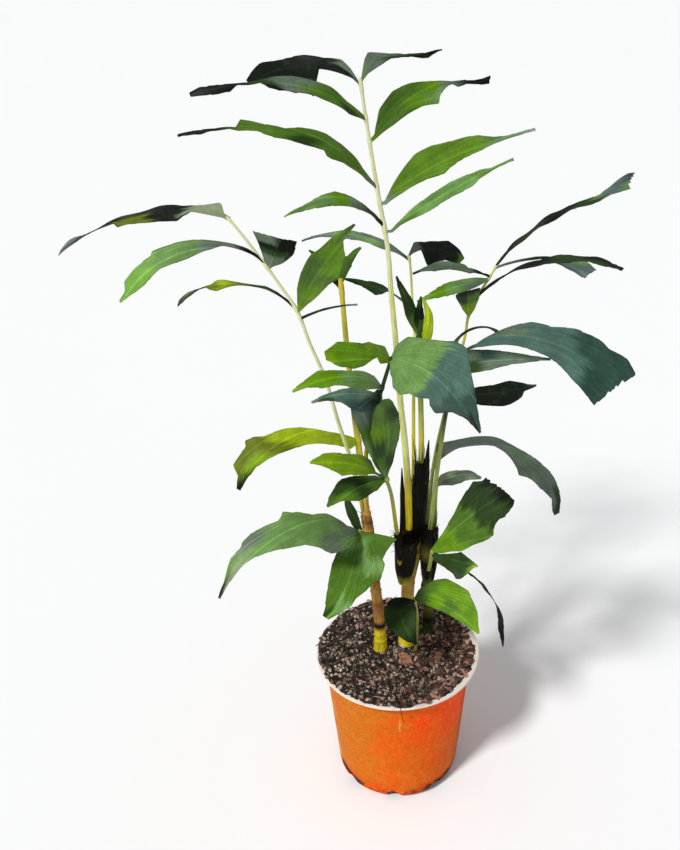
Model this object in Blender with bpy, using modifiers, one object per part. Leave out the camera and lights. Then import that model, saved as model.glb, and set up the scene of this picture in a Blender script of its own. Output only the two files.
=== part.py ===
"""Potted fishtail palm: a thin nursery pot full of soil, three stems, a sucker and thirteen fronds.

Metres, +Z up. The origin is the centre of the pot's flat bottom. Angles are in degrees, and the lengths
inside the frond tables are in millimetres, as they were set out.
"""
import math
from collections import namedtuple

import bmesh
import bpy
import numpy as np
from mathutils import Matrix

MM = 0.001
GAP = 0.3 * MM                 # kept between pieces that touch

# pot
POT_HEIGHT = 150 * MM
RIM_RADIUS = 82.5 * MM
RIM_THICKNESS = 2.6 * MM
WALL_TOP_RADIUS = 74 * MM
WALL_BOTTOM_RADIUS = 62 * MM
WALL_THICKNESS = 1.6 * MM
BOTTOM_THICKNESS = 2.0 * MM
CORNER_RADIUS = 12 * MM
POT_SEGMENTS = 40
DRAIN_HOLES = 8
DRAIN_RADIUS = 8 * MM
DRAIN_TILT = 38.0              # the holes look outward and down by this much
DRAIN_START = -140.0           # direction of the first hole

# soil
SOIL_LEVEL = 145 * MM
SOIL_BUMP = 1.5 * MM
SOIL_RINGS = (14, 28, 42, 55, 67)

# leaves
BLADE_THICKNESS = 0.9 * MM
BLADE_FOLD = 0.18              # how far each half of a blade rises beside its midrib
TOOTH = 0.24                   # depth of the ragged edge, as a share of the half width
TOOTH_START = 0.5
MARGIN_STATIONS = (0.0, 0.10, 0.25, 0.40, 0.55, 0.70, 0.85, 1.0)
SMALLEST_HALF_WIDTH = 1.0
ROOT_HALF_WIDTH = 1.0

# sheaths and sockets
SHEATH_WALL = 1.5 * MM
SHEATH_LENGTH = 38 * MM
STALK_SIDES = 1                # bevel_resolution of the petioles
STEM_SIDES = 2

Leaflet = namedtuple("Leaflet", "at heading rise droop swing length roll upper lower")
Frond = namedtuple("Frond", "stem route base_radius tip_radius leaflets")
Stem = namedtuple("Stem", "route base_radius top_radius")

STEMS = {
    "stem_left": Stem([
        (-18, 8, 96), (-18, 8, 125), (-18, 8, 150), (-19, 8, 185), (-22, 8, 220), (-24, 8, 244)], 6.4, 5.2),
    "stem_middle": Stem([
        (8, 16, 96), (8, 16, 125), (8, 16, 150), (9, 18, 190), (11, 22, 238)], 7.2, 6.4),
    "stem_right": Stem([
        (31, 32, 96), (31, 32, 125), (31, 32, 150), (31, 33, 185), (30, 34, 214)], 5.6, 5.0),
}

FRONDS = {
    "frond_tall": Frond("stem_middle", [
        (11, 22, 246), (10, 24, 317), (7, 26, 371), (2, 28, 423), (-2, 32, 479), (-6, 36, 525), (-9, 40, 564),
        (-17, 44, 611), (-26, 50, 669), (-30, 52, 699)], 3.8, 1.3, [
        Leaflet(0.99, 16, 36, 38, 17, 76, 75, (12, 12, 5, 3, 2, 2, 1), (2, 5, 4, 3, 3, 3, 1)),
        Leaflet(0.98, 171, 36, 76, -18, 106, 100, (2, 3, 5, 7, 6, 7, 1), (2, 3, 13, 21, 21, 12, 2)),
        Leaflet(0.93, -142, 42, 62, -33, 150, 120, (2, 7, 7, 5, 2, 2, 2), (2, 7, 7, 5, 1, 4, 3)),
        Leaflet(0.81, -146, 56, 73, -29, 181, 122, (2, 7, 7, 6, 5, 1, 2), (2, 7, 7, 6, 5, 1, 3)),
        Leaflet(0.74, -138, 59, 88, -16, 107, 110, (2, 3, 4, 5, 5, 3, 1), (2, 3, 5, 6, 6, 4, 1)),
        Leaflet(0.89, 12, 59, 74, 14, 121, 90, (3, 9, 12, 8, 4, 3, 3), (3, 5, 9, 11, 7, 3, 3)),
        Leaflet(0.78, -37, 43, 27, 27, 150, 110, (4, 11, 16, 14, 9, 3, 1), (3, 7, 12, 12, 10, 4, 1)),
        Leaflet(0.73, -35, 36, 3, 16, 133, 115, (3, 7, 9, 8, 7, 4, 1), (3, 7, 10, 10, 9, 5, 1)),
    ]),
    "frond_left": Frond("stem_left", [
        (-28, 6, 277), (-32, 4, 313), (-38, 0, 355), (-46, -4, 393), (-53, -6, 421), (-62, -8, 462),
        (-74, -8, 496), (-83, -6, 524), (-97, -2, 546), (-110, 0, 566), (-125, 4, 586), (-137, 6, 601),
    ], 2.2, 1.1, [
        Leaflet(0.99, 171, 11, 51, 0, 165, 160, (14, 3, 5, 5, 5, 5, 13), (8, 9, 13, 12, 6, 5, 10)),
        Leaflet(0.86, -144, 47, 106, -23, 138, 130, (2, 2, 5, 7, 9, 9, 3), (2, 2, 4, 7, 9, 8, 2)),
        Leaflet(0.85, -28, 59, -12, 16, 30, -65, (3, 7, 11, 14, 16, 18, 16), (2, 3, 7, 9, 12, 16, 20)),
        Leaflet(0.74, 171, 37, 83, -14, 118, 160, (3, 3, 4, 6, 4, 3, 3), (3, 3, 4, 4, 3, 3, 4)),
        Leaflet(0.73, -59, 52, 1, 29, 116, 135, (5, 10, 13, 14, 12, 5, 1), (4, 9, 11, 11, 7, 2, 1)),
        Leaflet(0.71, -24, 34, 24, 3, 57, 115, (1, 1, 1, 1, 1, 1, 1), (1, 1, 1, 1, 1, 1, 1)),
    ]),
    "frond_right_back": Frond("stem_right", [
        (26, 36, 236), (30, 50, 281), (35, 65, 330), (44, 80, 373), (55, 95, 414), (64, 105, 449),
        (67, 110, 468), (73, 114, 485), (82, 118, 498), (95, 125, 518)], 2.2, 1.1, [
        Leaflet(0.99, 12, 51, 41, -5, 147, 125, (2, 4, 6, 7, 4, 7, 20), (2, 4, 6, 6, 4, 4, 13)),
        Leaflet(0.98, -6, 27, 68, 24, 97, 110, (1, 1, 1, 2, 2, 4, 2), (1, 1, 2, 5, 7, 9, 6)),
        Leaflet(0.87, -3, 57, 93, 14, 161, 120, (3, 3, 3, 3, 3, 3, 1), (1, 3, 6, 7, 7, 7, 1)),
        Leaflet(0.81, -105, 71, -2, 9, 32, 15, (3, 6, 8, 10, 12, 12, 12), (2, 5, 7, 9, 11, 12, 11)),
        Leaflet(0.95, -151, 46, 67, -14, 88, 125, (2, 3, 4, 4, 3, 2, 1), (2, 4, 5, 6, 4, 2, 1)),
        Leaflet(0.94, -132, 12, 26, -23, 86, 140, (3, 5, 7, 7, 6, 3, 1), (3, 5, 7, 7, 5, 3, 1)),
    ]),
    "frond_back": Frond("stem_middle", [
        (15, 38, 253), (15, 44, 303), (15, 57, 352), (15, 75, 398), (16, 100, 449), (14, 115, 477),
        (12, 130, 509), (10, 135, 523)], 2.2, 1.1, [
        Leaflet(0.98, 168, 38, 63, 2, 112, 150, (2, 4, 6, 5, 4, 2, 1), (2, 5, 6, 6, 4, 2, 1)),
        Leaflet(0.81, -125, 48, 30, -29, 97, 130, (4, 4, 5, 5, 5, 4, 1), (4, 5, 5, 6, 5, 4, 1)),
        Leaflet(0.99, 44, 18, 66, -29, 66, 85, (6, 9, 8, 8, 8, 9, 4), (2, 4, 12, 16, 16, 11, 4)),
    ]),
    "frond_spear": Frond("stem_middle", [
        (19, 28, 254), (20, 32, 311), (22, 38, 364), (21, 46, 413), (19, 55, 465), (21, 58, 489)], 3.0, 2.4, [
        Leaflet(0.93, 180, 75, 9, 0, 62, 115, (4, 6, 6, 6, 4, 2, 1), (3, 5, 6, 5, 4, 3, 1)),
        Leaflet(0.90, 0, 55, -62, 0, 47, -85, (8, 7, 6, 5, 4, 2, 1), (4, 5, 4, 4, 3, 2, 1)),
        Leaflet(0.96, 180, 84, -15, 0, 32, 110, (4, 5, 5, 4, 3, 2, 1), (4, 5, 5, 4, 3, 2, 1)),
    ]),
    "frond_right_front": Frond("stem_right", [
        (28, 26, 237), (32, 16, 299), (36, 4, 363), (41, -10, 424), (45, -22, 464), (47, -34, 501)], 2.6, 1.4, [
        Leaflet(0.99, -38, 49, 97, 22, 153, 75, (3, 5, 7, 10, 15, 19, 22), (3, 5, 10, 15, 21, 23, 21)),
        Leaflet(0.82, -35, 12, -12, 22, 79, 85, (3, 6, 8, 9, 8, 5, 1), (3, 6, 10, 11, 9, 4, 2)),
        Leaflet(0.96, -12, 112, 191, 43, 72, 125, (1, 1, 1, 1, 1, 1, 1), (1, 1, 1, 1, 1, 1, 1)),
        Leaflet(0.94, -35, 26, 23, 25, 84, 90, (3, 5, 6, 4, 3, 2, 1), (3, 7, 8, 4, 2, 1, 1)),
    ]),
    "frond_front": Frond("stem_left", [
        (-27, -2, 288), (-29, -10, 339), (-28, -22, 395), (-21, -36, 438), (-14, -50, 472), (-5, -66, 511),
    ], 2.4, 1.5, [
        Leaflet(0.99, -50, 21, 65, -2, 110, 50, (9, 19, 27, 28, 19, 10, 1), (7, 21, 30, 31, 23, 10, 1)),
        Leaflet(0.98, -121, 30, 22, -22, 73, 115, (4, 7, 9, 8, 7, 5, 2), (3, 4, 7, 9, 8, 6, 2)),
        Leaflet(0.84, -123, 50, 69, -38, 94, 135, (3, 6, 7, 7, 7, 4, 1), (3, 7, 7, 6, 7, 4, 1)),
        Leaflet(0.79, -161, 26, 41, 2, 59, 140, (3, 4, 5, 4, 3, 2, 1), (5, 9, 9, 5, 3, 2, 1)),
    ]),
    "frond_left_back": Frond("stem_left", [
        (-26, 16, 263), (-31, 22, 312), (-36, 32, 362), (-42, 45, 414), (-47, 60, 463), (-50, 72, 497),
        (-52, 80, 520)], 3.6, 2.2, [
        Leaflet(0.97, 75, 71, 47, -46, 42, -110, (2, 4, 5, 6, 5, 3, 1), (2, 3, 4, 5, 4, 3, 1)),
        Leaflet(0.95, 101, 21, 2, 43, 66, -175, (2, 5, 5, 5, 4, 4, 1), (2, 5, 5, 5, 4, 4, 1)),
        Leaflet(0.43, -143, 51, 109, -7, 147, 135, (4, 7, 9, 11, 14, 15, 1), (2, 5, 8, 12, 14, 12, 1)),
    ]),
    "frond_middle_low": Frond("stem_middle", [
        (3, 12, 254), (-2, 2, 303), (-6, -12, 346), (-11, -24, 373)], 2.2, 1.6, [
        Leaflet(0.98, -131, 49, 36, -18, 95, 125, (3, 6, 9, 9, 6, 4, 1), (2, 6, 9, 9, 6, 4, 1)),
        Leaflet(0.96, -126, 32, 57, -14, 73, 150, (3, 7, 10, 10, 9, 5, 2), (3, 7, 9, 8, 7, 5, 1)),
        Leaflet(0.97, -125, 72, 14, 15, 106, 55, (3, 7, 9, 9, 8, 7, 5), (3, 7, 9, 9, 10, 10, 7)),
        Leaflet(0.99, -79, 69, 5, -15, 113, 15, (4, 7, 8, 8, 7, 4, 1), (4, 7, 8, 8, 7, 4, 1)),
    ]),
    "frond_left_low": Frond("stem_left", [
        (-22, 0, 239), (-26, -10, 273), (-30, -25, 305), (-35, -42, 328)], 2.2, 1.6, [
        Leaflet(0.96, -132, 58, 117, -18, 173, 145, (5, 10, 16, 15, 12, 8, 1), (7, 12, 15, 14, 11, 7, 1)),
        Leaflet(0.98, -95, -41, -22, -30, 86, -10, (19, 36, 37, 25, 17, 10, 2), (7, 12, 15, 15, 12, 7, 1)),
        Leaflet(0.90, 180, 70, -4, 0, 42, 125, (3, 4, 5, 5, 4, 3, 1), (3, 4, 5, 5, 4, 3, 1)),
    ]),
    "frond_right_low": Frond("stem_right", [
        (27, 24, 212), (30, 8, 245), (33, -8, 281)], 2.2, 1.6, [
        Leaflet(0.98, -51, 58, 12, 22, 127, 100, (4, 7, 12, 15, 21, 25, 11), (6, 13, 19, 22, 22, 17, 10)),
        Leaflet(0.94, -52, 14, 11, 31, 52, 65, (3, 5, 7, 8, 6, 3, 1), (3, 6, 9, 12, 13, 9, 2)),
        Leaflet(0.86, 0, -12, 90, 0, 152, 120, (1, 1, 1, 2, 2, 3, 1), (1, 1, 1, 2, 2, 3, 1)),
    ]),
    "frond_right_arch": Frond("stem_right", [
        (36, 44, 230), (37, 49, 264), (37, 53, 294), (38, 57, 315), (38, 60, 330), (39, 66, 347)], 2.4, 1.6, [
        Leaflet(0.97, -12, 31, 124, 50, 192, 100, (5, 5, 4, 4, 6, 6, 1), (12, 9, 5, 6, 12, 11, 3)),
        Leaflet(0.70, -9, 51, 98, 43, 53, 85, (3, 6, 7, 7, 6, 3, 1), (3, 7, 7, 7, 5, 2, 1)),
    ]),
    "sucker": Frond(None, [
        (18, 5, 118), (18, 5, 140), (19, 3, 164), (19, -4, 198), (16, -14, 228)], 1.8, 1.4, [
        Leaflet(0.98, -51, 43, 84, 20, 85, 50, (6, 15, 23, 26, 24, 17, 3), (1, 2, 4, 5, 5, 4, 2)),
        Leaflet(0.95, -146, 27, 73, 117, 65, 10, (5, 11, 15, 15, 12, 8, 1), (8, 15, 17, 16, 13, 8, 1)),
    ]),
}

# bark: centre, turn, length, width, thickness
BARK = {
    "bark_chip_front": ((7, -9), 118, 21, 10, 3.0),
    "bark_chip_right": ((58, 14), -25, 17, 7, 2.4),
    "bark_chip_middle": ((41, -6), 60, 19, 8, 2.6),
}
BARK_SUNK = 1.2 * MM


def material(name, colour, roughness=0.6, metallic=0.0):
    mat = bpy.data.materials.new(name)
    mat.use_nodes = True
    shader = mat.node_tree.nodes["Principled BSDF"]
    shader.inputs["Base Color"].default_value = (*colour, 1.0)
    shader.inputs["Roughness"].default_value = roughness
    shader.inputs["Metallic"].default_value = metallic
    mat.diffuse_color = (*colour, 1.0)
    return mat


def collection(name):
    group = bpy.data.collections.new(name)
    bpy.context.scene.collection.children.link(group)
    return group


def add(name, mesh, group, mat=None):
    obj = bpy.data.objects.new(name, mesh)
    group.objects.link(obj)
    if mat:
        mesh.materials.clear()
        mesh.materials.append(mat)
    return obj


def baked(obj):
    """The evaluated mesh of an object, in world space, as a mesh of its own."""
    bpy.context.view_layer.update()
    graph = bpy.context.evaluated_depsgraph_get()
    mesh = bpy.data.meshes.new_from_object(obj.evaluated_get(graph), depsgraph=graph)
    mesh.transform(obj.matrix_world)
    return mesh


def as_cutter(obj):
    obj.hide_render = True
    obj.display_type = "WIRE"
    return obj


def boolean(obj, other, operation):
    """One Boolean on an object or on a whole collection, applied at once."""
    mod = obj.modifiers.new(operation.lower(), "BOOLEAN")
    mod.operation = operation
    mod.solver = "EXACT"
    if isinstance(other, bpy.types.Collection):
        mod.operand_type = "COLLECTION"
        mod.collection = other
    else:
        mod.object = other
    mesh = baked(obj)
    obj.modifiers.remove(mod)
    old = obj.data
    obj.data = mesh
    obj.matrix_world = Matrix.Identity(4)
    bpy.data.meshes.remove(old)


def triangulated(mesh):
    """Split every face into triangles, less any two slivers that end up back to back."""
    cage = bmesh.new()
    cage.from_mesh(mesh)
    bmesh.ops.triangulate(cage, faces=cage.faces)
    cage.verts.index_update()
    alike = {}
    for face in cage.faces:
        alike.setdefault(frozenset(vert.index for vert in face.verts), []).append(face)
    folded = [face for group in alike.values() if len(group) > 1 for face in group]
    bmesh.ops.delete(cage, geom=folded, context="FACES")
    cage.to_mesh(mesh)
    cage.free()


def smooth_route(route, per=2):
    """Points of a smooth curve through the route's own points, in metres."""
    pts = np.array(route, float) * MM
    ends = np.vstack([2 * pts[0] - pts[1], pts, 2 * pts[-1] - pts[-2]])
    out = []
    for i in range(1, len(ends) - 2):
        a, b, c, d = ends[i - 1:i + 3]
        for t in np.arange(per) / per:
            out.append(0.5 * (2 * b + (c - a) * t + (2 * a - 5 * b + 4 * c - d) * t ** 2
                              + (3 * b - a - 3 * c + d) * t ** 3))
    out.append(pts[-1])
    return np.array(out)


def along(points, share):
    """Point at a share of the route's length."""
    steps = np.linalg.norm(np.diff(points, axis=0), axis=1)
    reach = np.concatenate([[0.0], np.cumsum(steps)])
    return np.array([np.interp(share * reach[-1], reach, points[:, k]) for k in range(3)])


def cut_to_length(points, length):
    """The first stretch of a route, of the given length."""
    steps = np.linalg.norm(np.diff(points, axis=0), axis=1)
    reach = np.concatenate([[0.0], np.cumsum(steps)])
    keep = [p for p, r in zip(points, reach) if r < length - 1 * MM]
    return np.array(keep + [along(points, length / reach[-1])])


def tube(name, points, radii, resolution, group):
    """Round tube along a route, as a closed mesh."""
    curve = bpy.data.curves.new(name, "CURVE")
    curve.dimensions = "3D"
    curve.bevel_depth = 1.0
    curve.bevel_resolution = resolution
    curve.use_fill_caps = True
    line = curve.splines.new("POLY")
    line.points.add(len(points) - 1)
    for point, place, radius in zip(line.points, points, radii):
        point.co = (*place, 1.0)
        point.radius = radius
    guide = bpy.data.objects.new(name + "_guide", curve)
    group.objects.link(guide)
    mesh = baked(guide)
    bpy.data.objects.remove(guide)
    cage = bmesh.new()
    cage.from_mesh(mesh)
    bmesh.ops.remove_doubles(cage, verts=cage.verts, dist=1e-6)
    bmesh.ops.recalc_face_normals(cage, faces=cage.faces)
    cage.to_mesh(mesh)
    cage.free()
    return add(name, mesh, group)


def turned(name, profile, group, segments=POT_SEGMENTS):
    """Profile of (radius, height) points turned about the Z axis."""
    mesh = bpy.data.meshes.new(name)
    mesh.from_pydata([(r, 0, z) for r, z in profile], [(i, i + 1) for i in range(len(profile) - 1)], [])
    obj = add(name, mesh, group)
    screw = obj.modifiers.new("turn", "SCREW")
    screw.axis = "Z"
    screw.steps = screw.render_steps = segments
    screw.use_merge_vertices = True
    screw.merge_threshold = 0.00001
    mesh = baked(obj)
    bpy.data.objects.remove(obj)
    cage = bmesh.new()
    cage.from_mesh(mesh)
    bmesh.ops.remove_doubles(cage, verts=cage.verts, dist=1e-6)
    bmesh.ops.recalc_face_normals(cage, faces=cage.faces)
    cage.to_mesh(mesh)
    cage.free()
    return add(name, mesh, group)


def leaf_frame(leaf, s):
    """Directions along, across and out of a blade at a share of its length."""
    pitch = math.radians(leaf.rise - leaf.droop * s)
    head = math.radians(leaf.heading + leaf.swing * s)
    forward = np.array([math.cos(pitch) * math.cos(head), math.cos(pitch) * math.sin(head), math.sin(pitch)])
    side = np.array([-math.sin(head), math.cos(head), 0.0])
    out = np.cross(forward, side)
    roll = math.radians(leaf.roll)
    return forward, side * math.cos(roll) + out * math.sin(roll), out * math.cos(roll) - side * math.sin(roll)


def half_width(margin, s, bite):
    return max(SMALLEST_HALF_WIDTH, bite * np.interp(s, MARGIN_STATIONS, (ROOT_HALF_WIDTH, *margin))) * MM


def blade(name, root, leaf, group):
    """One leaflet: an open folded surface with a ragged outer edge, given its thickness by Solidify."""
    widest = max(max(leaf.upper), max(leaf.lower))
    rows = 9 if leaf.length > 90 else 7 if leaf.length > 50 else 5
    half = 2 if widest > 12 else 1
    fine = 60
    line = [np.array(root)]
    for i in range(fine):
        line.append(line[-1] + leaf_frame(leaf, (i + 0.5) / fine)[0] * leaf.length * MM / fine)
    line = np.array(line)
    verts = []
    for i in range(rows + 1):
        s = i / rows
        forward, side, out = leaf_frame(leaf, s)
        middle = np.array([np.interp(s * fine, np.arange(fine + 1), line[:, k]) for k in range(3)])
        bite = 1 - TOOTH * (i % 2) if s > TOOTH_START and i < rows else 1
        upper, lower = (half_width(margin, s, bite) for margin in (leaf.upper, leaf.lower))
        for j in range(-half, half + 1):
            across = (upper if j > 0 else lower) * j / half
            nick = 0.12 * (upper + lower) * (1 - abs(j) % 2) if i == rows else 0.0
            lift = BLADE_FOLD * abs(across)
            verts.append(middle + side * across + out * lift - forward * nick)
    width = 2 * half + 1
    faces = []
    for i in range(rows):
        for j in range(width - 1):
            a, b, c, d = i * width + j, i * width + j + 1, (i + 1) * width + j + 1, (i + 1) * width + j
            faces += [(a, b, c), (a, c, d)] if j >= half else [(a, b, d), (b, c, d)]
    mesh = bpy.data.meshes.new(name)
    mesh.from_pydata([tuple(v) for v in verts], [], faces)
    obj = add(name, mesh, group)
    shell = obj.modifiers.new("thickness", "SOLIDIFY")
    shell.thickness = BLADE_THICKNESS
    shell.offset = 0.0
    shell.use_even_offset = False
    mesh = baked(obj)
    old = obj.data
    obj.modifiers.remove(shell)
    obj.data = mesh
    bpy.data.meshes.remove(old)
    return obj


def stalk_radii(frond, count):
    return np.linspace(frond.base_radius, frond.tip_radius, count) * MM


def make_frond(name, frond, group, work, mat):
    """Petiole and rachis with every leaflet grown into it: one solid."""
    points = smooth_route(frond.route)
    stalk = tube(name, points, stalk_radii(frond, len(points)), STALK_SIDES, group)
    for i, leaf in enumerate(frond.leaflets):
        blade(f"{name}_leaflet_{i}", along(points, leaf.at), leaf, work)
    boolean(stalk, work, "UNION")
    for leaflet in list(work.objects):
        bpy.data.objects.remove(leaflet)
    stalk.data.materials.clear()
    stalk.data.materials.append(mat)
    triangulated(stalk.data)
    return stalk


def make_stem(name, stem, group, work, sockets, mat):
    """Stem with a leaf sheath round the foot of each petiole, and the petioles' sockets cut out of it."""
    points = smooth_route(stem.route)
    radii = np.linspace(stem.base_radius, stem.top_radius, len(points)) * MM
    body = tube(name, points, radii, STEM_SIDES, group)
    foot = points[-2]
    for key, frond in FRONDS.items():
        if frond.stem != name:
            continue
        route = cut_to_length(smooth_route(frond.route), SHEATH_LENGTH)
        low = route[0][2] < foot[2] + 8 * MM
        start = np.array([foot[0], foot[1], route[0][2] - 14 * MM]) if low else foot
        sheath = np.vstack([start, (start + route[0]) / 2 - [0, 0, 1 * MM], route])
        width = frond.base_radius * MM + SHEATH_WALL
        tube(f"{name}_{key}_sheath", sheath, np.linspace(width + 0.6 * MM, width - 0.3 * MM, len(sheath)),
             STALK_SIDES, work)
    boolean(body, work, "UNION")
    for sheath in list(work.objects):
        bpy.data.objects.remove(sheath)
    for key, frond in FRONDS.items():
        if frond.stem != name:
            continue
        points = smooth_route(frond.route)
        first = points[0] - (points[1] - points[0]) / np.linalg.norm(points[1] - points[0]) * GAP
        route = np.vstack([first, cut_to_length(points, SHEATH_LENGTH + 14 * MM)[1:]])
        radius = frond.base_radius * MM + GAP * 1.6
        as_cutter(tube(f"{name}_{key}_socket", route, [radius] * len(route), STALK_SIDES, sockets))
    boolean(body, sockets, "DIFFERENCE")
    for socket in list(sockets.objects):
        bpy.data.objects.remove(socket)
    body.data.materials.clear()
    body.data.materials.append(mat)
    triangulated(body.data)
    body.data.shade_smooth()
    return body


def wall_radius(z):
    return WALL_BOTTOM_RADIUS + (WALL_TOP_RADIUS - WALL_BOTTOM_RADIUS) * z / POT_HEIGHT


def corner(radius, centre, height, steps):
    return [(centre + radius * math.cos(a), height - radius * math.sin(a))
            for a in [math.pi / 2 * i / steps for i in range(steps + 1)]]


def make_pot(group, cutters, mat):
    """Turned shell: flange, tapering wall, rounded lower corner and flat bottom, with drainage holes."""
    top = POT_HEIGHT
    under = top - RIM_THICKNESS
    inner_corner = CORNER_RADIUS - WALL_THICKNESS
    outside = [(WALL_TOP_RADIUS - 1.0 * MM, top), (RIM_RADIUS - 0.8 * MM, top), (RIM_RADIUS, top - 0.8 * MM),
               (RIM_RADIUS, under), (wall_radius(under) + 2 * MM, under), (wall_radius(under), under - 2 * MM)]
    outside += [(wall_radius(z), z) for z in (75 * MM,)]
    outside += corner(CORNER_RADIUS, wall_radius(CORNER_RADIUS) - CORNER_RADIUS, CORNER_RADIUS, 4)
    outside += [(0.0, 0.0)]
    centre = wall_radius(CORNER_RADIUS) - CORNER_RADIUS
    inside = [(0.0, BOTTOM_THICKNESS)]
    inside += [(r, z + BOTTOM_THICKNESS - WALL_THICKNESS)
               for r, z in reversed(corner(inner_corner, centre, CORNER_RADIUS, 4))]
    inside += [(wall_radius(z) - WALL_THICKNESS, z) for z in (75 * MM, under - 2 * MM)]
    pot = turned("pot", outside + inside + outside[:1], group)
    for i in range(DRAIN_HOLES):
        angle = math.radians(DRAIN_START + 360 * i / DRAIN_HOLES)
        tilt = math.radians(DRAIN_TILT)
        middle = centre + CORNER_RADIUS * math.cos(tilt)
        bpy.ops.mesh.primitive_cylinder_add(vertices=12, radius=DRAIN_RADIUS, depth=9 * MM)
        hole = bpy.context.object
        hole.name = f"drain_hole_{i}"
        for owner in list(hole.users_collection):
            owner.objects.unlink(hole)
        cutters.objects.link(hole)
        height = CORNER_RADIUS * (1 - math.sin(tilt))
        hole.location = (middle * math.cos(angle), middle * math.sin(angle), height)
        hole.rotation_euler = (0, math.pi / 2 + tilt, angle)
        as_cutter(hole)
    boolean(pot, cutters, "DIFFERENCE")
    for hole in list(cutters.objects):
        bpy.data.objects.remove(hole)
    pot.data.materials.clear()
    pot.data.materials.append(mat)
    triangulated(pot.data)
    pot.data.shade_smooth()
    pot.data.set_sharp_from_angle(angle=math.radians(40))
    return pot


def soil_height(x, y):
    """Lumps of the surface, flat where it meets the wall."""
    u, v = x / MM, y / MM
    lump = 0.5 * math.sin(u / 9.0 + 1.3) * math.cos(v / 7.5)
    lump += 0.3 * math.sin(u / 4.6 - v / 5.2) + 0.2 * math.cos(v / 3.9 + u / 11)
    edge = min(1.0, max(0.0, (71 - math.hypot(u, v)) / 12))
    return SOIL_BUMP * lump * edge


def make_soil(group, cutters, mat):
    """Filling of the pot: turned to the wall's inside, with a lumpy top and a hole for everything in it."""
    side = [(wall_radius(z) - WALL_THICKNESS - GAP * 1.4, z) for z in (SOIL_LEVEL, 75 * MM)]
    centre = wall_radius(CORNER_RADIUS) - CORNER_RADIUS
    inner = CORNER_RADIUS - WALL_THICKNESS - GAP * 1.4
    side += [(r, z + BOTTOM_THICKNESS - WALL_THICKNESS) for r, z in corner(inner, centre, CORNER_RADIUS, 3)]
    low = side[-1][1]
    top = [(0.0, SOIL_LEVEL)] + [(r * MM, SOIL_LEVEL) for r in SOIL_RINGS]
    soil = turned("soil", top + side + [(0.0, low)], group)
    for vert in soil.data.vertices:
        if vert.co.z > SOIL_LEVEL - 1 * MM:
            vert.co.z += soil_height(vert.co.x, vert.co.y)
    for name, stem in STEMS.items():
        points = smooth_route(stem.route)
        radii = np.linspace(stem.base_radius, stem.top_radius, len(points)) * MM + GAP * 1.2
        hole = np.vstack([points[0] - [0, 0, GAP], points[1:6]])
        as_cutter(tube(name + "_hole", hole, radii[:6], STEM_SIDES, cutters))
    sucker = FRONDS["sucker"]
    points = smooth_route(sucker.route)
    radii = stalk_radii(sucker, len(points)) + GAP * 1.4
    hole = np.vstack([points[0] - [0, 0, GAP], points[1:6]])
    as_cutter(tube("sucker_hole", hole, radii[:6], STALK_SIDES, cutters))
    for name, chip in BARK.items():
        as_cutter(bark_slab(name + "_bed", chip, cutters, GAP))
    boolean(soil, cutters, "DIFFERENCE")
    for cutter in list(cutters.objects):
        bpy.data.objects.remove(cutter)
    soil.data.materials.clear()
    soil.data.materials.append(mat)
    triangulated(soil.data)
    return soil


def bark_slab(name, chip, group, grow=0.0):
    """A broken piece of bark: a cube drawn out, tapered at one end and bent."""
    (x, y), turn, length, width, thick = chip
    mesh = bpy.data.meshes.new(name)
    cage = bmesh.new()
    bmesh.ops.create_cube(cage, size=1.0)
    lengthwise = [e for e in cage.edges if abs(e.verts[0].co.x - e.verts[1].co.x) > 0.5]
    bmesh.ops.subdivide_edges(cage, edges=lengthwise, cuts=2, use_grid_fill=True)
    for vert in cage.verts:
        u = vert.co.x * 2
        vert.co.x *= length * MM + 2 * grow
        vert.co.y *= (width * MM * (1 - 0.35 * max(0.0, u))) + 2 * grow
        vert.co.z = vert.co.z * (thick * MM + 2 * grow) + 0.12 * width * MM * (1 - u * u)
    cage.to_mesh(mesh)
    cage.free()
    height = SOIL_LEVEL + thick / 2 * MM - BARK_SUNK
    mesh.transform(Matrix.Translation((x * MM, y * MM, height)) @ Matrix.Rotation(math.radians(turn), 4, "Z"))
    return add(name, mesh, group)


def main():
    for obj in list(bpy.data.objects):
        bpy.data.objects.remove(obj)
    palm = collection("potted_fishtail_palm")
    work = collection("joined_pieces")
    cutters = collection("cutters")

    orange = material("pot_plastic", (0.80, 0.20, 0.03), 0.5)
    earth = material("potting_soil", (0.045, 0.03, 0.022), 0.95)
    bark = material("bark", (0.30, 0.13, 0.08), 0.9)
    cane = material("stem", (0.45, 0.36, 0.10), 0.6)
    green = material("leaf", (0.09, 0.22, 0.06), 0.45)

    make_pot(palm, cutters, orange)
    make_soil(palm, cutters, earth)
    for name, chip in BARK.items():
        piece = bark_slab(name, chip, palm)
        piece.data.materials.append(bark)
    for name, stem in STEMS.items():
        make_stem(name, stem, palm, work, cutters, cane)
    for name, frond in FRONDS.items():
        make_frond(name, frond, palm, work, green)
    for obj in palm.objects:
        print(obj.name, len(obj.data.polygons), "faces")


main()
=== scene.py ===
"""Potted fishtail palm: an orange nursery pot, its potting mix, three canes, twelve fronds and a sucker.

The file is laid out as an add-on and run as a script. Lengths inside the tables of routes, leaflets,
margins and bark are millimetres and their angles degrees. Everything else is in metres, with the origin at
the centre of the pot's flat bottom.
"""
import math
from collections import namedtuple
from functools import cache

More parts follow.
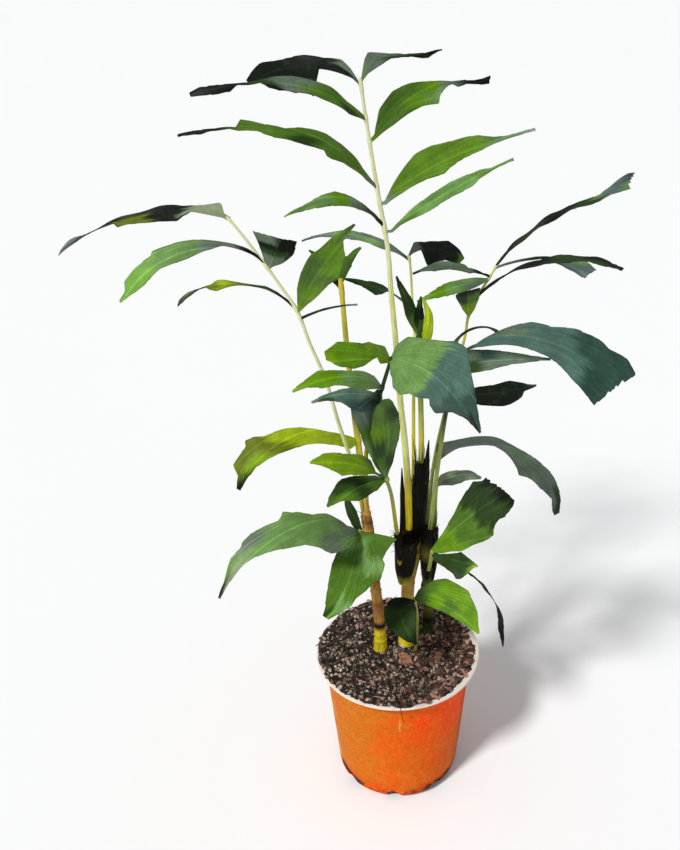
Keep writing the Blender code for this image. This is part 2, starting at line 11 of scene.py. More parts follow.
import bmesh
import bpy
import numpy as np
from bpy.props import FloatProperty, FloatVectorProperty, IntProperty, PointerProperty
from bpy.types import Operator, Panel, PropertyGroup
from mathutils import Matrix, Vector


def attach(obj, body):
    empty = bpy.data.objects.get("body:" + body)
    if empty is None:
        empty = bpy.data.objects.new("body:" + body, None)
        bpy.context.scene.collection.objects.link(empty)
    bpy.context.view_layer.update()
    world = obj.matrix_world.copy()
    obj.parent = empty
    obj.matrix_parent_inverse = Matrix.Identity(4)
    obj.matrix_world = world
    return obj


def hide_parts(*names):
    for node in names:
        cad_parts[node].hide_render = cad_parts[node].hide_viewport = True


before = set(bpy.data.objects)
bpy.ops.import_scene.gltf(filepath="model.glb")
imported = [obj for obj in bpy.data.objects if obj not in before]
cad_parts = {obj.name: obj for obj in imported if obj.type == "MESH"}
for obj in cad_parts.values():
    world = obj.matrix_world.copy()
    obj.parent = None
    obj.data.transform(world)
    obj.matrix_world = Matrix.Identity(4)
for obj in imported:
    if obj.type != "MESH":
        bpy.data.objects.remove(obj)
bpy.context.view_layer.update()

bl_info = {
    "name": "Potted fishtail palm",
    "version": (1, 0, 0),
    "blender": (4, 5, 0),
    "location": "3D View > Sidebar > Palm",
    "description": "Builds a potted fishtail palm around its packed solids",
    "category": "Object",
}

MM = 0.001
BODY = "root"

# Pot
POT_HEIGHT = 150 * MM
RIM_RADIUS = 82.5 * MM
RIM_THICKNESS = 2.6 * MM
WALL_TOP_RADIUS = 74 * MM
WALL_BOTTOM_RADIUS = 62 * MM
WALL_THICKNESS = 1.6 * MM
WALL_MIDDLE = 75 * MM          # height of a middle point on the inner wall's profile
BOTTOM_THICKNESS = 2.0 * MM
CORNER_RADIUS = 12 * MM
OUTSIDE_STEP = 4 * MM          # longest stretch of the pot's outer profile
INSIDE_STEP = 9 * MM
POT_CREASE = 35                # edges of the pot sharper than this stay sharp, degrees
DRAIN_HOLES = 8
DRAIN_RADIUS = 8 * MM
DRAIN_TILT = 38.0
DRAIN_START = -140.0
DRAIN_SIDES = 28
DRAIN_PLUG = 9 * MM            # length of the plug that cuts a drainage hole

# Soil
SOIL_LEVEL = 145 * MM
SOIL_GAP = 0.4 * MM            # between the potting mix and the pot, all round
SOIL_SEGMENTS = 240
SOIL_STEP = 1.3 * MM
SPILL_WIDTH = 10 * MM          # how far the potting mix reaches over the flange
FLANGE_TOP = POT_HEIGHT + 0.05 * MM
# radius and height of the heaped surface, as far as the wall
SOIL_HEAP = ((0, 145), (30, 145), (46, 145.6), (60, 147), (67, 148.6))
BARK_SUNK = 1.2 * MM           # how deep the large chips of bark lie in the mix
BARK_SEED = 400
BARK_CUTS = 11
BARK_CREASE = 40
GRAIN_KINDS = 4                # different forms of each kind of grain
THREAD_SIDES = 6

# Dry roots that lie on the potting mix; the first hangs over the flange in front
ROOT_THREADS = (
    ((-6, -48, 149), (-4, -60, 150.5), (-1, -72, 151.6), (1, -79, 151.8), (2.5, -83.2, 150.4),
     (3.6, -84.0, 145), (4.6, -83.6, 139), (6.4, -83.0, 133)),
    ((-34, -52, 149.4), (-24, -58, 150.8), (-12, -60, 151), (-2, -66, 151.6)),
    ((24, -28, 148), (30, -40, 149.6), (40, -46, 150.4), (44, -56, 151)),
)

# Leaves
BLADE_FOLD = 0.18              # how steeply a blade's halves rise from its midline
MIDLINE_STEPS = 240            # short straight steps that make up a blade's midline
RIPPLE = 1.1                   # how far a blade's margins wave up and down, mm
PLEAT_VEINS = 2.5              # veins from the foot of one pleat to the foot of the next
NARROWEST = 1.1                # width that every blade keeps, mm
MARGIN_STATIONS = (0.0, 0.10, 0.25, 0.40, 0.55, 0.70, 0.85, 1.0)
ROOT_HALF_WIDTH = 1.0
FAN_ROOT = 6.0                 # the veins spread from a point this far behind the blade's root, mm
VEIN_PITCH = 2.2               # distance between main veins half way along a blade, mm
TINT_BLEND = 0.5               # share of the way from tint to tint over which one blends into the other
TINT_SHIFT = 0.022             # how far a tint's end moves from strip to strip, as a share of the blade
LEAF_SEED = 1000
SEEDS_PER_FROND = 20

# Canes and stalks
CANE_STEP = 0.8 * MM           # between the points along a cane or a sheath
STALK_STEP = 1.4 * MM
THREAD_STEP = 1.0 * MM
FIRST_SCAR = 12 * MM           # height of a cane's lowest leaf scar over the soil
SCAR_PITCH = 21 * MM
SCAR_GROOVE = 0.3 * MM         # depth of the groove over each scar
FOOT_SWELL = 1.2 * MM          # how much thicker a cane is at the soil
RIDGE_WIDTH = 1.1 * MM
GROOVE_ABOVE = 3 * MM
GROOVE_WIDTH = 1.6 * MM
FOOT_HEIGHT = 7 * MM
EXTRA_CANE_SIDES = 8
BUMP_WIDTH = 2.4 * MM          # of the thickening of a stalk where a leaflet grows out
STREAK_RADIUS = 6 * MM         # the streaks of a stalk are as wide as on a stalk of this radius
STEM_SEED = 60
UP = np.array([0.0, 0.0, 1.0])

# Sheaths
SHEATH_WALL = 1.5 * MM
SHEATH_LENGTH = 38 * MM
SHEATH_LEAD = 11               # points that lead from the cane to a petiole's foot
LONG_SHEATHS = {"frond_spear": 98 * MM, "frond_right_front": 52 * MM}     # old sheaths that stand higher
OLD_SHEATH_SWELL = 3.2 * MM    # how much wider an old sheath is half way up
LONG_FIBRES = 60               # loose fibres that run up from an old sheath
# Short fibres on each sheath of a cane: how many, the longest in millimetres, and their tint
SHORT_FIBRES = {"stem_left": (5, 7, "B"), "stem_middle": (44, 11, "K"), "stem_right": (5, 7, "B")}
SHORT_FIBRE_POINTS = 6
FIBRE_SIDES = 4
RING_BELOW = 8                 # a dead sheath's fibres stand this many points below its end
# Dead sheaths that wrap several petioles or stand beside them as shreds: route and radii in millimetres,
# tints from the foot up, and how many loose fibres stand at the top
DEAD_SHEATHS = {
    "stem_middle": (
        (((6.5, 18.5, 222), (6.5, 18, 240), (7.5, 18, 260), (8, 18, 276)),
         (6.4, 9.6, 10.9, 11.6), "YKKKK", 80),
        (((4.5, 21, 268), (4.8, 24, 300), (4.2, 26, 324), (3.6, 28, 350)), (3.4, 3.0, 2.4, 0.5), "KK", 0),
        (((20, 30, 268), (23, 31, 300), (26, 33, 335), (29, 36, 376)), (5.6, 5.0, 3.8, 0.5), "KK", 0)),
}

# Stage
FLOOR_RADIUS = 30.0
FLOOR_SIDES = 96
KEY_FROM = (-0.42, -0.50, 0.76)     # the key light comes from this side
KEY_COLOUR = (1.0, 0.988, 0.965)
SKY_COLOUR = (1.0, 1.0, 1.0, 1.0)
CAMERA_PLACE = (0.0, -0.763, 0.848)
CAMERA_DOWN = 29.7                  # degrees below level
CAMERA_FAR = 100.0
SENSOR_WIDTH = 36.0
PHOTO_HEIGHT_PX = 850.0
FOCAL_PX = 990.0
PHOTO_MIDDLE_PX = 340.0
PLANT_MIDDLE_PX = 398.0             # the pot's axis in the photo stands right of its middle

# A leaflet with a margin of its own, in MARGINS, has no half widths here
Leaflet = namedtuple("Leaflet", "at heading rise droop swing length roll upper lower", defaults=(None, None))
Frond = namedtuple("Frond", "stem route base_radius tip_radius leaflets")
Stem = namedtuple("Stem", "route base_radius top_radius")
Looks = namedtuple("Looks", "upper lower veins")
Chip = namedtuple("Chip", "centre turn length width thickness")
PotNoise = namedtuple("PotNoise", "wide mottle grit drag stain blot")

STEMS = {
    "stem_left": Stem([
        (-18, 8, 96), (-18, 8, 125), (-18, 8, 150), (-19, 8, 185), (-22, 8, 220), (-24, 8, 244)], 6.4, 5.2),
    "stem_middle": Stem([
        (8, 16, 96), (8, 16, 125), (8, 16, 150), (9, 18, 190), (11, 22, 238)], 7.2, 6.4),
    "stem_right": Stem([
        (31, 32, 96), (31, 32, 125), (31, 32, 150), (31, 33, 185), (30, 34, 214)], 5.6, 5.0),
}

FRONDS = {
    "frond_tall": Frond("stem_middle", [
        (11, 22, 246), (10, 24, 317), (7, 26, 371), (2, 28, 423), (-2, 32, 479), (-6, 36, 525),
        (-9, 40, 564), (-17, 44, 611), (-26, 50, 669), (-30, 52, 699)], 3.8, 1.3, [
        Leaflet(0.99, 16, 36, 38, 17, 76, 75),
        Leaflet(0.98, 171, 36, 76, -18, 106, 100),
        Leaflet(0.93, -142, 42, 62, -33, 150, 120),
        Leaflet(0.81, -146, 56, 73, -29, 181, 122),
        Leaflet(0.74, -138, 59, 88, -16, 107, 110),
        Leaflet(0.89, 12, 59, 74, 14, 121, 90),
        Leaflet(0.78, -37, 43, 27, 27, 150, 110),
        Leaflet(0.73, -35, 36, 3, 16, 133, 115),
    ]),
    "frond_left": Frond("stem_left", [
        (-28, 6, 277), (-32, 4, 313), (-38, 0, 355), (-46, -4, 393), (-53, -6, 421), (-62, -8, 462),
        (-74, -8, 496), (-83, -6, 524), (-97, -2, 546), (-110, 0, 566), (-125, 4, 586),
        (-137, 6, 601)], 2.2, 1.1, [
        Leaflet(0.99, 171, 11, 51, 0, 165, 160),
        Leaflet(0.86, -144, 47, 106, -23, 138, 130),
        Leaflet(0.85, -28, 59, -12, 16, 30, -65),
        Leaflet(0.74, 171, 37, 83, -14, 118, 160),
        Leaflet(0.73, -59, 52, 1, 29, 116, 135),
        Leaflet(0.71, -24, 34, 24, 3, 57, 115, (1, 1, 1, 1, 1, 1, 1), (1, 1, 1, 1, 1, 1, 1)),
    ]),
    "frond_right_back": Frond("stem_right", [
        (26, 36, 236), (30, 50, 281), (35, 65, 330), (44, 80, 373), (55, 95, 414), (64, 105, 449),
        (67, 110, 468), (73, 114, 485), (82, 118, 498), (95, 125, 518)], 2.2, 1.1, [
        Leaflet(0.99, 12, 51, 41, -5, 147, 125),
        Leaflet(0.98, -6, 27, 68, 24, 97, 110),
        Leaflet(0.87, -3, 57, 93, 14, 161, 120),
        Leaflet(0.81, -105, 71, -2, 9, 32, 15, (3, 6, 8, 10, 12, 12, 12), (2, 5, 7, 9, 11, 12, 11)),
        Leaflet(0.95, -151, 46, 67, -14, 88, 125),
        Leaflet(0.94, -132, 12, 26, -23, 86, 140, (3, 5, 7, 7, 6, 3, 1), (3, 5, 7, 7, 5, 3, 1)),
    ]),
    "frond_back": Frond("stem_middle", [
        (15, 38, 253), (15, 44, 303), (15, 57, 352), (15, 75, 398), (16, 100, 449), (14, 115, 477),
        (12, 130, 509), (10, 135, 523)], 2.2, 1.1, [
        Leaflet(0.98, 168, 38, 63, 2, 112, 150, (2, 4, 6, 5, 4, 2, 1), (2, 5, 6, 6, 4, 2, 1)),
        Leaflet(0.81, -125, 48, 30, -29, 97, 130),
        Leaflet(0.99, 44, 18, 66, -29, 66, 85),
    ]),
    "frond_spear": Frond("stem_middle", [
        (19, 28, 254), (20, 32, 311), (22, 38, 364), (21, 46, 413), (19, 55, 465),
        (21, 58, 489)], 3.0, 2.4, [
        Leaflet(0.93, 180, 75, 9, 0, 62, 115, (4, 6, 6, 6, 4, 2, 1), (3, 5, 6, 5, 4, 3, 1)),
        Leaflet(0.90, 0, 55, -62, 0, 47, -85, (8, 7, 6, 5, 4, 2, 1), (4, 5, 4, 4, 3, 2, 1)),
        Leaflet(0.96, 180, 84, -15, 0, 32, 110, (4, 5, 5, 4, 3, 2, 1), (4, 5, 5, 4, 3, 2, 1)),
    ]),
    "frond_right_front": Frond("stem_right", [
        (28, 26, 237), (32, 16, 299), (36, 4, 363), (41, -10, 424), (45, -22, 464),
        (47, -34, 501)], 2.6, 1.4, [
        Leaflet(0.99, -38, 49, 97, 22, 153, 75),
        Leaflet(0.82, -35, 12, -12, 22, 79, 85),
        Leaflet(0.96, -12, 112, 191, 43, 72, 125),
        Leaflet(0.94, -35, 26, 23, 25, 84, 90),
    ]),
    "frond_front": Frond("stem_left", [
        (-27, -2, 288), (-29, -10, 339), (-28, -22, 395), (-21, -36, 438), (-14, -50, 472),
        (-5, -66, 511)], 2.4, 1.5, [
        Leaflet(0.99, -50, 21, 65, -2, 110, 50),
        Leaflet(0.98, -121, 30, 22, -22, 73, 115),
        Leaflet(0.84, -123, 50, 69, -38, 94, 135),
        Leaflet(0.79, -161, 26, 41, 2, 59, 140),
    ]),
    "frond_left_back": Frond("stem_left", [
        (-26, 16, 263), (-31, 22, 312), (-36, 32, 362), (-42, 45, 414), (-47, 60, 463), (-50, 72, 497),
        (-52, 80, 520)], 3.6, 2.2, [
        Leaflet(0.97, 75, 71, 47, -46, 42, -110, (2, 4, 5, 6, 5, 3, 1), (2, 3, 4, 5, 4, 3, 1)),
        Leaflet(0.95, 101, 21, 2, 43, 66, -175, (2, 5, 5, 5, 4, 4, 1), (2, 5, 5, 5, 4, 4, 1)),
        Leaflet(0.43, -143, 51, 109, -7, 147, 135),
    ]),
    "frond_middle_low": Frond("stem_middle", [
        (3, 12, 254), (-2, 2, 303), (-6, -12, 346), (-11, -24, 373)], 2.2, 1.6, [
        Leaflet(0.98, -131, 49, 36, -18, 95, 125),
        Leaflet(0.96, -126, 32, 57, -14, 73, 150),
        Leaflet(0.97, -125, 72, 14, 15, 106, 55),
        Leaflet(0.99, -79, 69, 5, -15, 113, 15),
    ]),
    "frond_left_low": Frond("stem_left", [
        (-22, 0, 239), (-26, -10, 273), (-30, -25, 305), (-35, -42, 328)], 2.2, 1.6, [
        Leaflet(0.96, -132, 58, 117, -18, 173, 145),
        Leaflet(0.98, -95, -41, -22, -30, 86, -10),
        Leaflet(0.90, 180, 70, -4, 0, 42, 125, (3, 4, 5, 5, 4, 3, 1), (3, 4, 5, 5, 4, 3, 1)),
    ]),
    "frond_right_low": Frond("stem_right", [
        (27, 24, 212), (30, 8, 245), (33, -8, 281)], 2.2, 1.6, [
        Leaflet(0.98, -51, 58, 12, 22, 127, 100),
        Leaflet(0.94, -52, 14, 11, 31, 52, 65),
        Leaflet(0.86, 0, -12, 90, 0, 152, 120),
    ]),
    "frond_right_arch": Frond("stem_right", [
        (36, 44, 230), (37, 49, 264), (37, 53, 294), (38, 57, 315), (38, 60, 330),
        (39, 66, 347)], 2.4, 1.6, [
        Leaflet(0.97, -12, 31, 124, 50, 192, 100),
        Leaflet(0.70, -9, 51, 98, 43, 53, 85),
    ]),
    "sucker": Frond(None, [
        (18, 5, 118), (18, 5, 140), (19, 3, 164), (19, -4, 198), (16, -14, 228)], 1.8, 1.4, [
        Leaflet(0.98, -51, 43, 84, 20, 85, 50),
        Leaflet(0.95, -146, 27, 73, 117, 65, 10, (5, 11, 15, 15, 12, 8, 1), (8, 15, 17, 16, 13, 8, 1)),
    ]),
}

BARK = {
    "bark_chip_front": Chip((7, -9), 118, 21, 10, 3.0),
    "bark_chip_right": Chip((58, 14), -25, 17, 7, 2.4),
    "bark_chip_middle": Chip((41, -6), 60, 19, 8, 2.6),
}

# Tints from a blade's root to its end, for its upper and its lower half, and how strongly its veins show.
# Much of the light and shade is painted into these tints: k is painted shade, d, b and c are partly painted
# shade and partly the blades' own dark green, t, s and p are painted reflection of a bright sky, and l and y
# are painted light shining through a blade on top of its own bright green.
# k near black, d dark, b blue dark, c blue, m middle, g bright, n vivid, l lime, y yellow green, o olive,
# t green sheen, s grey-green sheen, p pale grey-green, u grey-purple
LEAF_LOOKS = {
    "frond_tall": (
        Looks("tssdkk", "tsdkkk", 0.1), Looks("sskkkkkk", "skkkkkkk", 0.1),
        Looks("mmmssdkkk", "mdmmsdkkk", 0.3), Looks("smmmmmkk", "smmdmmkk", 0.3),
        Looks("kdsgttl", "kdsgttl", 0.3), Looks("gmmmgskk", "gmmgtskk", 0.3),
        Looks("pggggtp", "pggggtp", 0.4), Looks("tnnnnnt", "tgnnngt", 0.3)),
    "frond_left": (
        Looks("pppkkkdkkbss", "pppkkoodkkbs", 0.5), Looks("kkssttnnt", "kkssttnnn", 0.7),
        Looks("tssdkkk", "tssdkss", 0.3), Looks("kkddlyokok", "kkddlyokkk", 0.3),
        Looks("lggmmggm", "lggmggmd", 0.4), Looks("kkks", "kkds", 0.1)),
    "frond_right_back": (
        Looks("dkddkkdtsd", "kkddkkddst", 0.3), Looks("uuddts", "uuddss", 0.3),
        Looks("kkkdkk", "kkkddk", 0.1), Looks("llmk", "lldk", 0.3), Looks("kkssssk", "kkssssk", 0.2),
        Looks("tttgl", "tstgt", 0.2)),
    "frond_back": (
        Looks("bsstsb", "bstssb", 0.3), Looks("bsbdd", "bsbdk", 0.2), Looks("uukkkkkm", "uukkkkkm", 0.1)),
    "frond_spear": (
        Looks("lgddk", "lmddk", 0.5), Looks("yyyl", "yyyl", 0.4), Looks("dkd", "dkd", 0.2)),
    "frond_right_front": (
        Looks("sccsccbbb", "sccccccbb", 0.25), Looks("kkkkkb", "kkkkkk", 0.2),
        Looks("ookddk", "ookddk", 0.1), Looks("dsbssb", "ddsssb", 0.6)),
    "frond_front": (
        Looks("tttttcccbbb", "tttttccbbkk", 0.35), Looks("lllgggl", "llggggl", 0.4),
        Looks("stttggg", "stttggg", 0.4), Looks("cscscs", "dcccds", 0.2)),
    "frond_left_back": (
        Looks("mmm", "mmm", 0.2), Looks("kkd", "kkd", 0.1), Looks("yyyyyook", "yyyyolk", 0.5)),
    "frond_middle_low": (
        Looks("dmlll", "mglll", 0.5), Looks("gmddm", "gmdmm", 0.4), Looks("kdmscc", "kmtmsc", 0.4),
        Looks("mdmmdm", "tmdgmm", 0.9)),
    "frond_left_low": (
        Looks("mstttstk", "mtstttpd", 0.8), Looks("mmtmmtm", "mtmmmmd", 0.9), Looks("ddd", "ddd", 0.2)),
    "frond_right_low": (
        Looks("gggmmddk", "glgmmddk", 0.8), Looks("ddddm", "ddddl", 0.3), Looks("kkdkkk", "kkdkkk", 0.1)),
    "frond_right_arch": (
        Looks("ssusssudk", "suusssuuk", 0.4), Looks("ppsss", "pssps", 0.4)),
    "sucker": (
        Looks("dmmgggl", "mmgmggl", 0.7), Looks("kkddk", "kkddk", 0.3)),
}

# Leaflets with a margin of their own: (percent of the length, half width in millimetres) pairs of the upper
# and of the lower margin. A negative width leaves the midline outside the blade.
MARGINS = {
    ("frond_tall", 0): (
        ((0, 1), (4, 3), (16, 13), (22, 16), (40, 7), (56, 2), (78, -1.5), (100, -0.5)),
        ((0, 1), (4, -1), (12, -2.5), (28, -2.5), (40, -3), (62, 2), (72, 5), (80, 6), (98, 1.5),
         (100, 1))),
    ("frond_tall", 1): (
        ((0, 1), (6, 3.5), (14, 8.5), (22, 12), (34, 9), (50, 9), (64, 7), (72, 7.5), (82, 10.5), (88, 11),
         (100, 6)),
        ((0, 1), (4, -2), (10, -3), (36, 0), (38, 22), (48, 19.5), (58, 20), (68, 17), (76, 15), (84, 10),
         (90, 3), (100, -2))),
    ("frond_tall", 2): (
        ((0, 1), (8, 2), (26, 7.5), (40, 8.5), (58, 5), (68, 1.3), (76, 1), (82, 2), (94, 5), (100, 3)),
        ((0, 1.5), (12, 6), (34, 4), (48, 6), (58, 1.3), (64, 0), (70, 1.5), (76, 0.5), (80, 4), (86, 4.5),
         (92, 3.5), (100, 0))),
    ("frond_tall", 3): (
        ((0, 0), (6, 0), (12, 1), (26, 7), (36, 6.5), (46, 4), (54, -1), (62, -0.5), (73, 2.2), (75, -3.8),
         (84, -3.5), (92, -2), (100, -1.7)),
        ((0, 1.5), (8, 5), (22, 6.5), (29, 10.5), (32, 10.5), (34, 7), (48, 9.5), (58, 9.5), (66, 6.5),
         (74, 7), (78, 4.8), (86, 5), (90, 6.5), (100, 3.5))),
    ("frond_tall", 4): (
        ((0, -0.3), (20, -1), (56, 4.5), (82, -1), (100, -1)),
        ((0, 1.5), (8, 3.5), (18, 3), (32, 6), (68, 7.5), (84, 6), (100, 1.7))),
    ("frond_tall", 5): (
        ((0, 1), (6, 0), (14, 5), (20, 10), (32, 14), (42, 11.5), (54, 5), (70, -0.8), (88, -1.8), (94, 0),
         (100, 3.5)),
        ((0, 1), (4, 3), (20, 7.5), (46, 11.5), (57, 14.5), (60, 8.5), (68, 4), (71, 3.5), (76, 7), (82, 5),
         (94, 5), (100, 3))),
    ("frond_tall", 6): (
        ((0, 0), (4, -1), (20, 7.5), (38, 16.5), (50, 17), (64, 12), (72, 9), (80, 3), (86, 0.5),
         (100, 0.7)),
        ((0, 1), (3, 4), (22, 5), (46, 9), (50, 7.3), (76, 3), (100, 1.7))),
    ("frond_tall", 7): (
        ((0, -1), (4, -2.5), (24, 3), (46, 7), (60, 6.6), (80, 4), (86, 0), (100, -2)),
        ((0, 2), (4, 5), (12, 3.5), (38, 5.6), (70, 5.7), (76, 3.5), (90, 3), (100, 4))),
    ("frond_left", 0): (
        ((0, 3), (4, 7), (8, 21), (10, 23), (16, 18), (26, 12), (40, 14), (66, 4), (72, 3), (78, 5),
         (86, 10), (94, 17), (100, 20)),
        ((0, 1), (4, -1.5), (20, -2.5), (22, 2.5), (25, 9), (34, 7), (48, 8), (58, 7), (61, 0), (72, -1),
         (88, 0.5), (100, -3))),
    ("frond_left", 1): (
        ((0, 1), (4, 4.5), (10, 4.5), (38, 7), (68, 12), (70, 9), (90, 8), (94, 3), (100, 3)),
        ((0, 0), (10, -1.5), (30, -2), (38, 1.5), (52, 5.5), (60, 5.7), (70, 4.6), (82, 6.5), (90, 4.6),
         (100, 0))),
    ("frond_left", 2): (
        ((0, 1), (14, 3), (30, 9), (44, 12), (60, 15), (100, 15)),
        ((0, 1), (10, 3.9), (48, 12.1), (98, 22), (100, 22))),
    ("frond_left", 3): (
        ((0, 1), (10, 3.2), (26, 6.2), (34, 4), (42, 2.9), (50, 3.5), (62, 5.7), (66, 1.5), (76, 1),
         (82, 4.5), (90, 6), (100, 3)),
        ((0, 1), (10, -1.1), (24, -2.9), (34, -0.6), (42, 0.6), (50, 4), (60, 7), (66, 4), (70, 1), (76, 1),
         (82, 5.5), (92, 7), (100, 4))),
    ("frond_left", 4): (
        ((0, -0.8), (24, 8), (46, 13), (64, 14.5), (82, 8.5), (100, 1)),
        ((0, 2), (20, 7), (40, 11.5), (54, 15.5), (72, 10.5), (84, 1.5), (100, 1.5))),
    ("frond_right_back", 0): (
        ((0, 2), (6, 7), (24, 6.8), (34, 5), (46, 5), (56, 1.7), (70, -2.8), (80, -2), (86, 3.6), (90, 10),
         (96, 20), (100, 20)),
        ((0, 1), (12, -0.5), (22, 2.6), (44, 6), (66, 9), (80, 12.5), (94, 7), (100, 6.5))),
    ("frond_right_back", 1): (
        ((0, 1), (18, 1.6), (36, 2.8), (50, 5), (70, 8), (86, 12), (100, 11)),
        ((0, 0.5), (16, 0.4), (38, 0), (48, -1.9), (62, 2.4), (74, 4.5), (100, 4))),
    ("frond_right_back", 2): (
        ((0, 1), (8, 0.1), (14, -1.3), (24, -3.4), (74, -2.9), (82, -0.7), (92, -1.2), (100, 0.6)),
        ((0, 1), (6, 2.6), (18, 4), (28, 5.8), (36, 8), (44, 11), (52, 12.8), (66, 11.5), (84, 9.1),
         (100, 5))),
    ("frond_right_back", 4): (
        ((0, 1), (12, -2), (32, -3), (38, -1), (50, -0.9), (66, 1.1), (92, -2.7), (100, -3)),
        ((0, 1), (12, 3.6), (22, 5), (30, 8.2), (44, 8.7), (58, 7.5), (76, 8.1), (90, 5), (100, 4.4))),
    ("frond_back", 1): (
        ((0, 2), (30, 3.5), (48, 5), (66, 6.2), (98, 2.2), (100, 2)),
        ((0, 1), (40, -1), (48, -1), (56, 4), (64, 6.8), (80, 4), (100, 0))),
    ("frond_back", 2): (
        ((0, 1), (4, 4.9), (12, 11.7), (30, 7.6), (50, 8.1), (64, 10.8), (86, 8.2), (100, 5)),
        ((0, 1), (4, -1), (24, -0.8), (28, 10.7), (32, 15.9), (54, 13.4), (74, 8), (88, 6), (100, 3))),
    ("frond_right_front", 0): (
        ((0, 1), (10, -2), (16, -2), (30, 3), (48, 12), (58, 12.3), (68, 17.5), (80, 18.7), (84, 17),
         (92, 20.5), (100, 17)),
        ((0, 1), (10, 3), (20, 6), (30, 7), (40, 8), (60, 11), (78, 18), (96, 22), (100, 22))),
    ("frond_right_front", 1): (
        ((0, 1), (8, 2), (40, 7), (74, 9), (98, 0.5), (100, 0.5)),
        ((0, 1), (8, 2), (34, 8.5), (60, 12.3), (68, 11.7), (82, 7.5), (86, 3), (100, 1.3))),
    ("frond_right_front", 2): (
        ((0, 2), (8, 4.5), (22, 4), (34, 1.4), (70, 1.4), (84, 2.5), (100, 1)),
        ((0, 2), (8, 3.5), (22, 3), (34, 1.2), (70, 1.2), (84, 2.5), (100, 1))),
    ("frond_right_front", 3): (
        ((0, 2), (8, 8), (24, 12), (42, 11), (60, 7), (80, 4), (100, 1)),
        ((0, 3), (14, 8), (40, 8), (64, 4), (100, 1))),
    ("frond_front", 0): (
        ((0, 2), (3, 11), (12, 19), (30, 21), (40, 25.5), (48, 31), (55, 32), (68, 21), (82, 11), (92, 5),
         (100, 2)),
        ((0, 2), (8, 12.5), (14, 16), (22, 23), (32, 25.7), (38, 21.7), (48, 20), (58, 15), (62, 18),
         (70, 19), (77, 9), (88, 3), (100, 0))),
    ("frond_front", 1): (
        ((0, 2), (4, 12), (18, 12.4), (34, 14), (46, 12.2), (80, 14.5), (92, 10.7), (100, 9)),
        ((0, 1), (20, 3.2), (23, 2), (26, -1.7), (36, 0.6), (50, 5.4), (64, 7), (86, 4.5), (100, -2))),
    ("frond_front", 2): (
        ((0, 2), (5, 11), (12, 8), (22, 6), (48, 5.7), (64, 6.5), (74, 8.5), (88, 4), (100, 0.7)),
        ((0, 1.2), (16, 7), (34, 10.4), (48, 9.5), (64, 6), (74, 6.5), (88, 2.2), (100, 1.4))),
    ("frond_front", 3): (
        ((0, 2), (14, 4), (50, 5), (80, 3), (100, 1)),
        ((0, 4), (10, 12), (30, 16), (46, 12), (60, 6), (80, 3), (100, 1))),
    ("frond_left_back", 2): (
        ((0, 1), (18, -2.7), (26, -2.5), (34, 0), (54, 9.3), (67, 13.5), (71, 18), (76, 21), (78, 16),
         (90, 14), (93, 5), (100, 0)),
        ((0, 3), (6, 12), (10, 14), (34, 13), (58, 10), (82, 4), (100, 4))),
    ("frond_middle_low", 0): (
        ((0, 1), (20, 0), (26, 9), (42, 11.5), (62, 8.5), (74, 9), (84, 8), (98, 2), (100, 1)),
        ((0, 1), (20, 2), (42, 7.5), (66, 11), (72, 8), (88, 3), (100, 0.4))),
    ("frond_middle_low", 1): (
        ((0, 1), (14, 7), (36, 9), (62, 15.5), (68, 15), (92, 8), (100, 4)),
        ((0, 0), (30, 9), (54, 10.5), (64, 10), (84, 2), (100, -1.7))),
    ("frond_middle_low", 2): (
        ((0, 1), (20, 5), (45, 11), (70, 17), (90, 22), (100, 22)),
        ((0, 1), (20, 6), (50, 9), (80, 9), (100, 8))),
    ("frond_middle_low", 3): (
        ((0, 1), (12, 4), (35, 9), (60, 11), (80, 9), (95, 4), (100, 1)),
        ((0, 1), (12, 6), (35, 13), (60, 15), (80, 13), (92, 9), (100, 4))),
    ("frond_left_low", 0): (
        ((0, 1.4), (6, -2), (14, -2.7), (28, 5.5), (36, 7), (42, 12.5), (46, 14), (50, 17.6), (52, 14),
         (54, 12), (60, 14), (68, 15.7), (73, 14.5), (76, 12), (82, 12.6), (92, 3.7), (100, 1.5)),
        ((0, 3), (4, 16), (10, 22), (24, 29), (32, 29.5), (36, 27), (48, 17), (60, 11.4), (74, 2.5),
         (80, 0.5), (100, 0.8))),
    ("frond_left_low", 1): (
        ((0, 3), (2, 18), (4, 31), (6, 34), (10, 30), (18, 26), (26, 24), (30, 27), (46, 27), (49, 22),
         (62, 17.5), (70, 13), (78, 12.4), (92, 4.5), (100, 1)),
        ((0, 4), (8, 11.7), (20, 16.4), (42, 18.4), (60, 16.4), (76, 13.4), (100, 4.8))),
    ("frond_right_low", 0): (
        ((0, 1), (2, 2), (24, 4.4), (36, 6.8), (52, 11.7), (70, 19), (88, 25.5), (95, 22), (100, 23)),
        ((0, 1), (8, 8), (30, 19), (54, 24.5), (66, 25.6), (69, 21.5), (74, 18.4), (80, 16.7), (86, 17.3),
         (96, 14), (100, 11))),
    ("frond_right_low", 1): (
        ((0, 1), (20, 1.4), (52, 6.6), (66, 10), (84, 5.6), (100, 0.5)),
        ((0, 2), (12, 6.7), (36, 8.8), (58, 12), (66, 16), (74, 15), (84, 9), (92, 3), (100, 1.2))),
    ("frond_right_low", 2): (
        ((0, 1), (15, -1), (30, -4.8), (48, -6.2), (60, -5.6), (66, -4.5), (76, -3.2), (88, -2), (100, 0)),
        ((0, 1), (15, 2.2), (30, 6), (48, 7.4), (60, 7.2), (70, 8), (86, 9), (94, 6), (100, 1))),
    ("frond_right_arch", 0): (
        ((0, 3), (3, 12.5), (28, 12), (32, 10), (40, 2.7), (44, 0.3), (50, -1.8), (60, -3), (100, -3)),
        ((0, 7), (6, 3.5), (12, 0.5), (26, 0), (30, 1), (36, 6.6), (48, 20), (52, 25), (58, 23), (74, 21),
         (88, 13.8), (96, 14), (100, 11))),
    ("frond_right_arch", 1): (
        ((0, 0.5), (18, 6.3), (34, 7.2), (68, 4.3), (86, 1.2), (100, 1)),
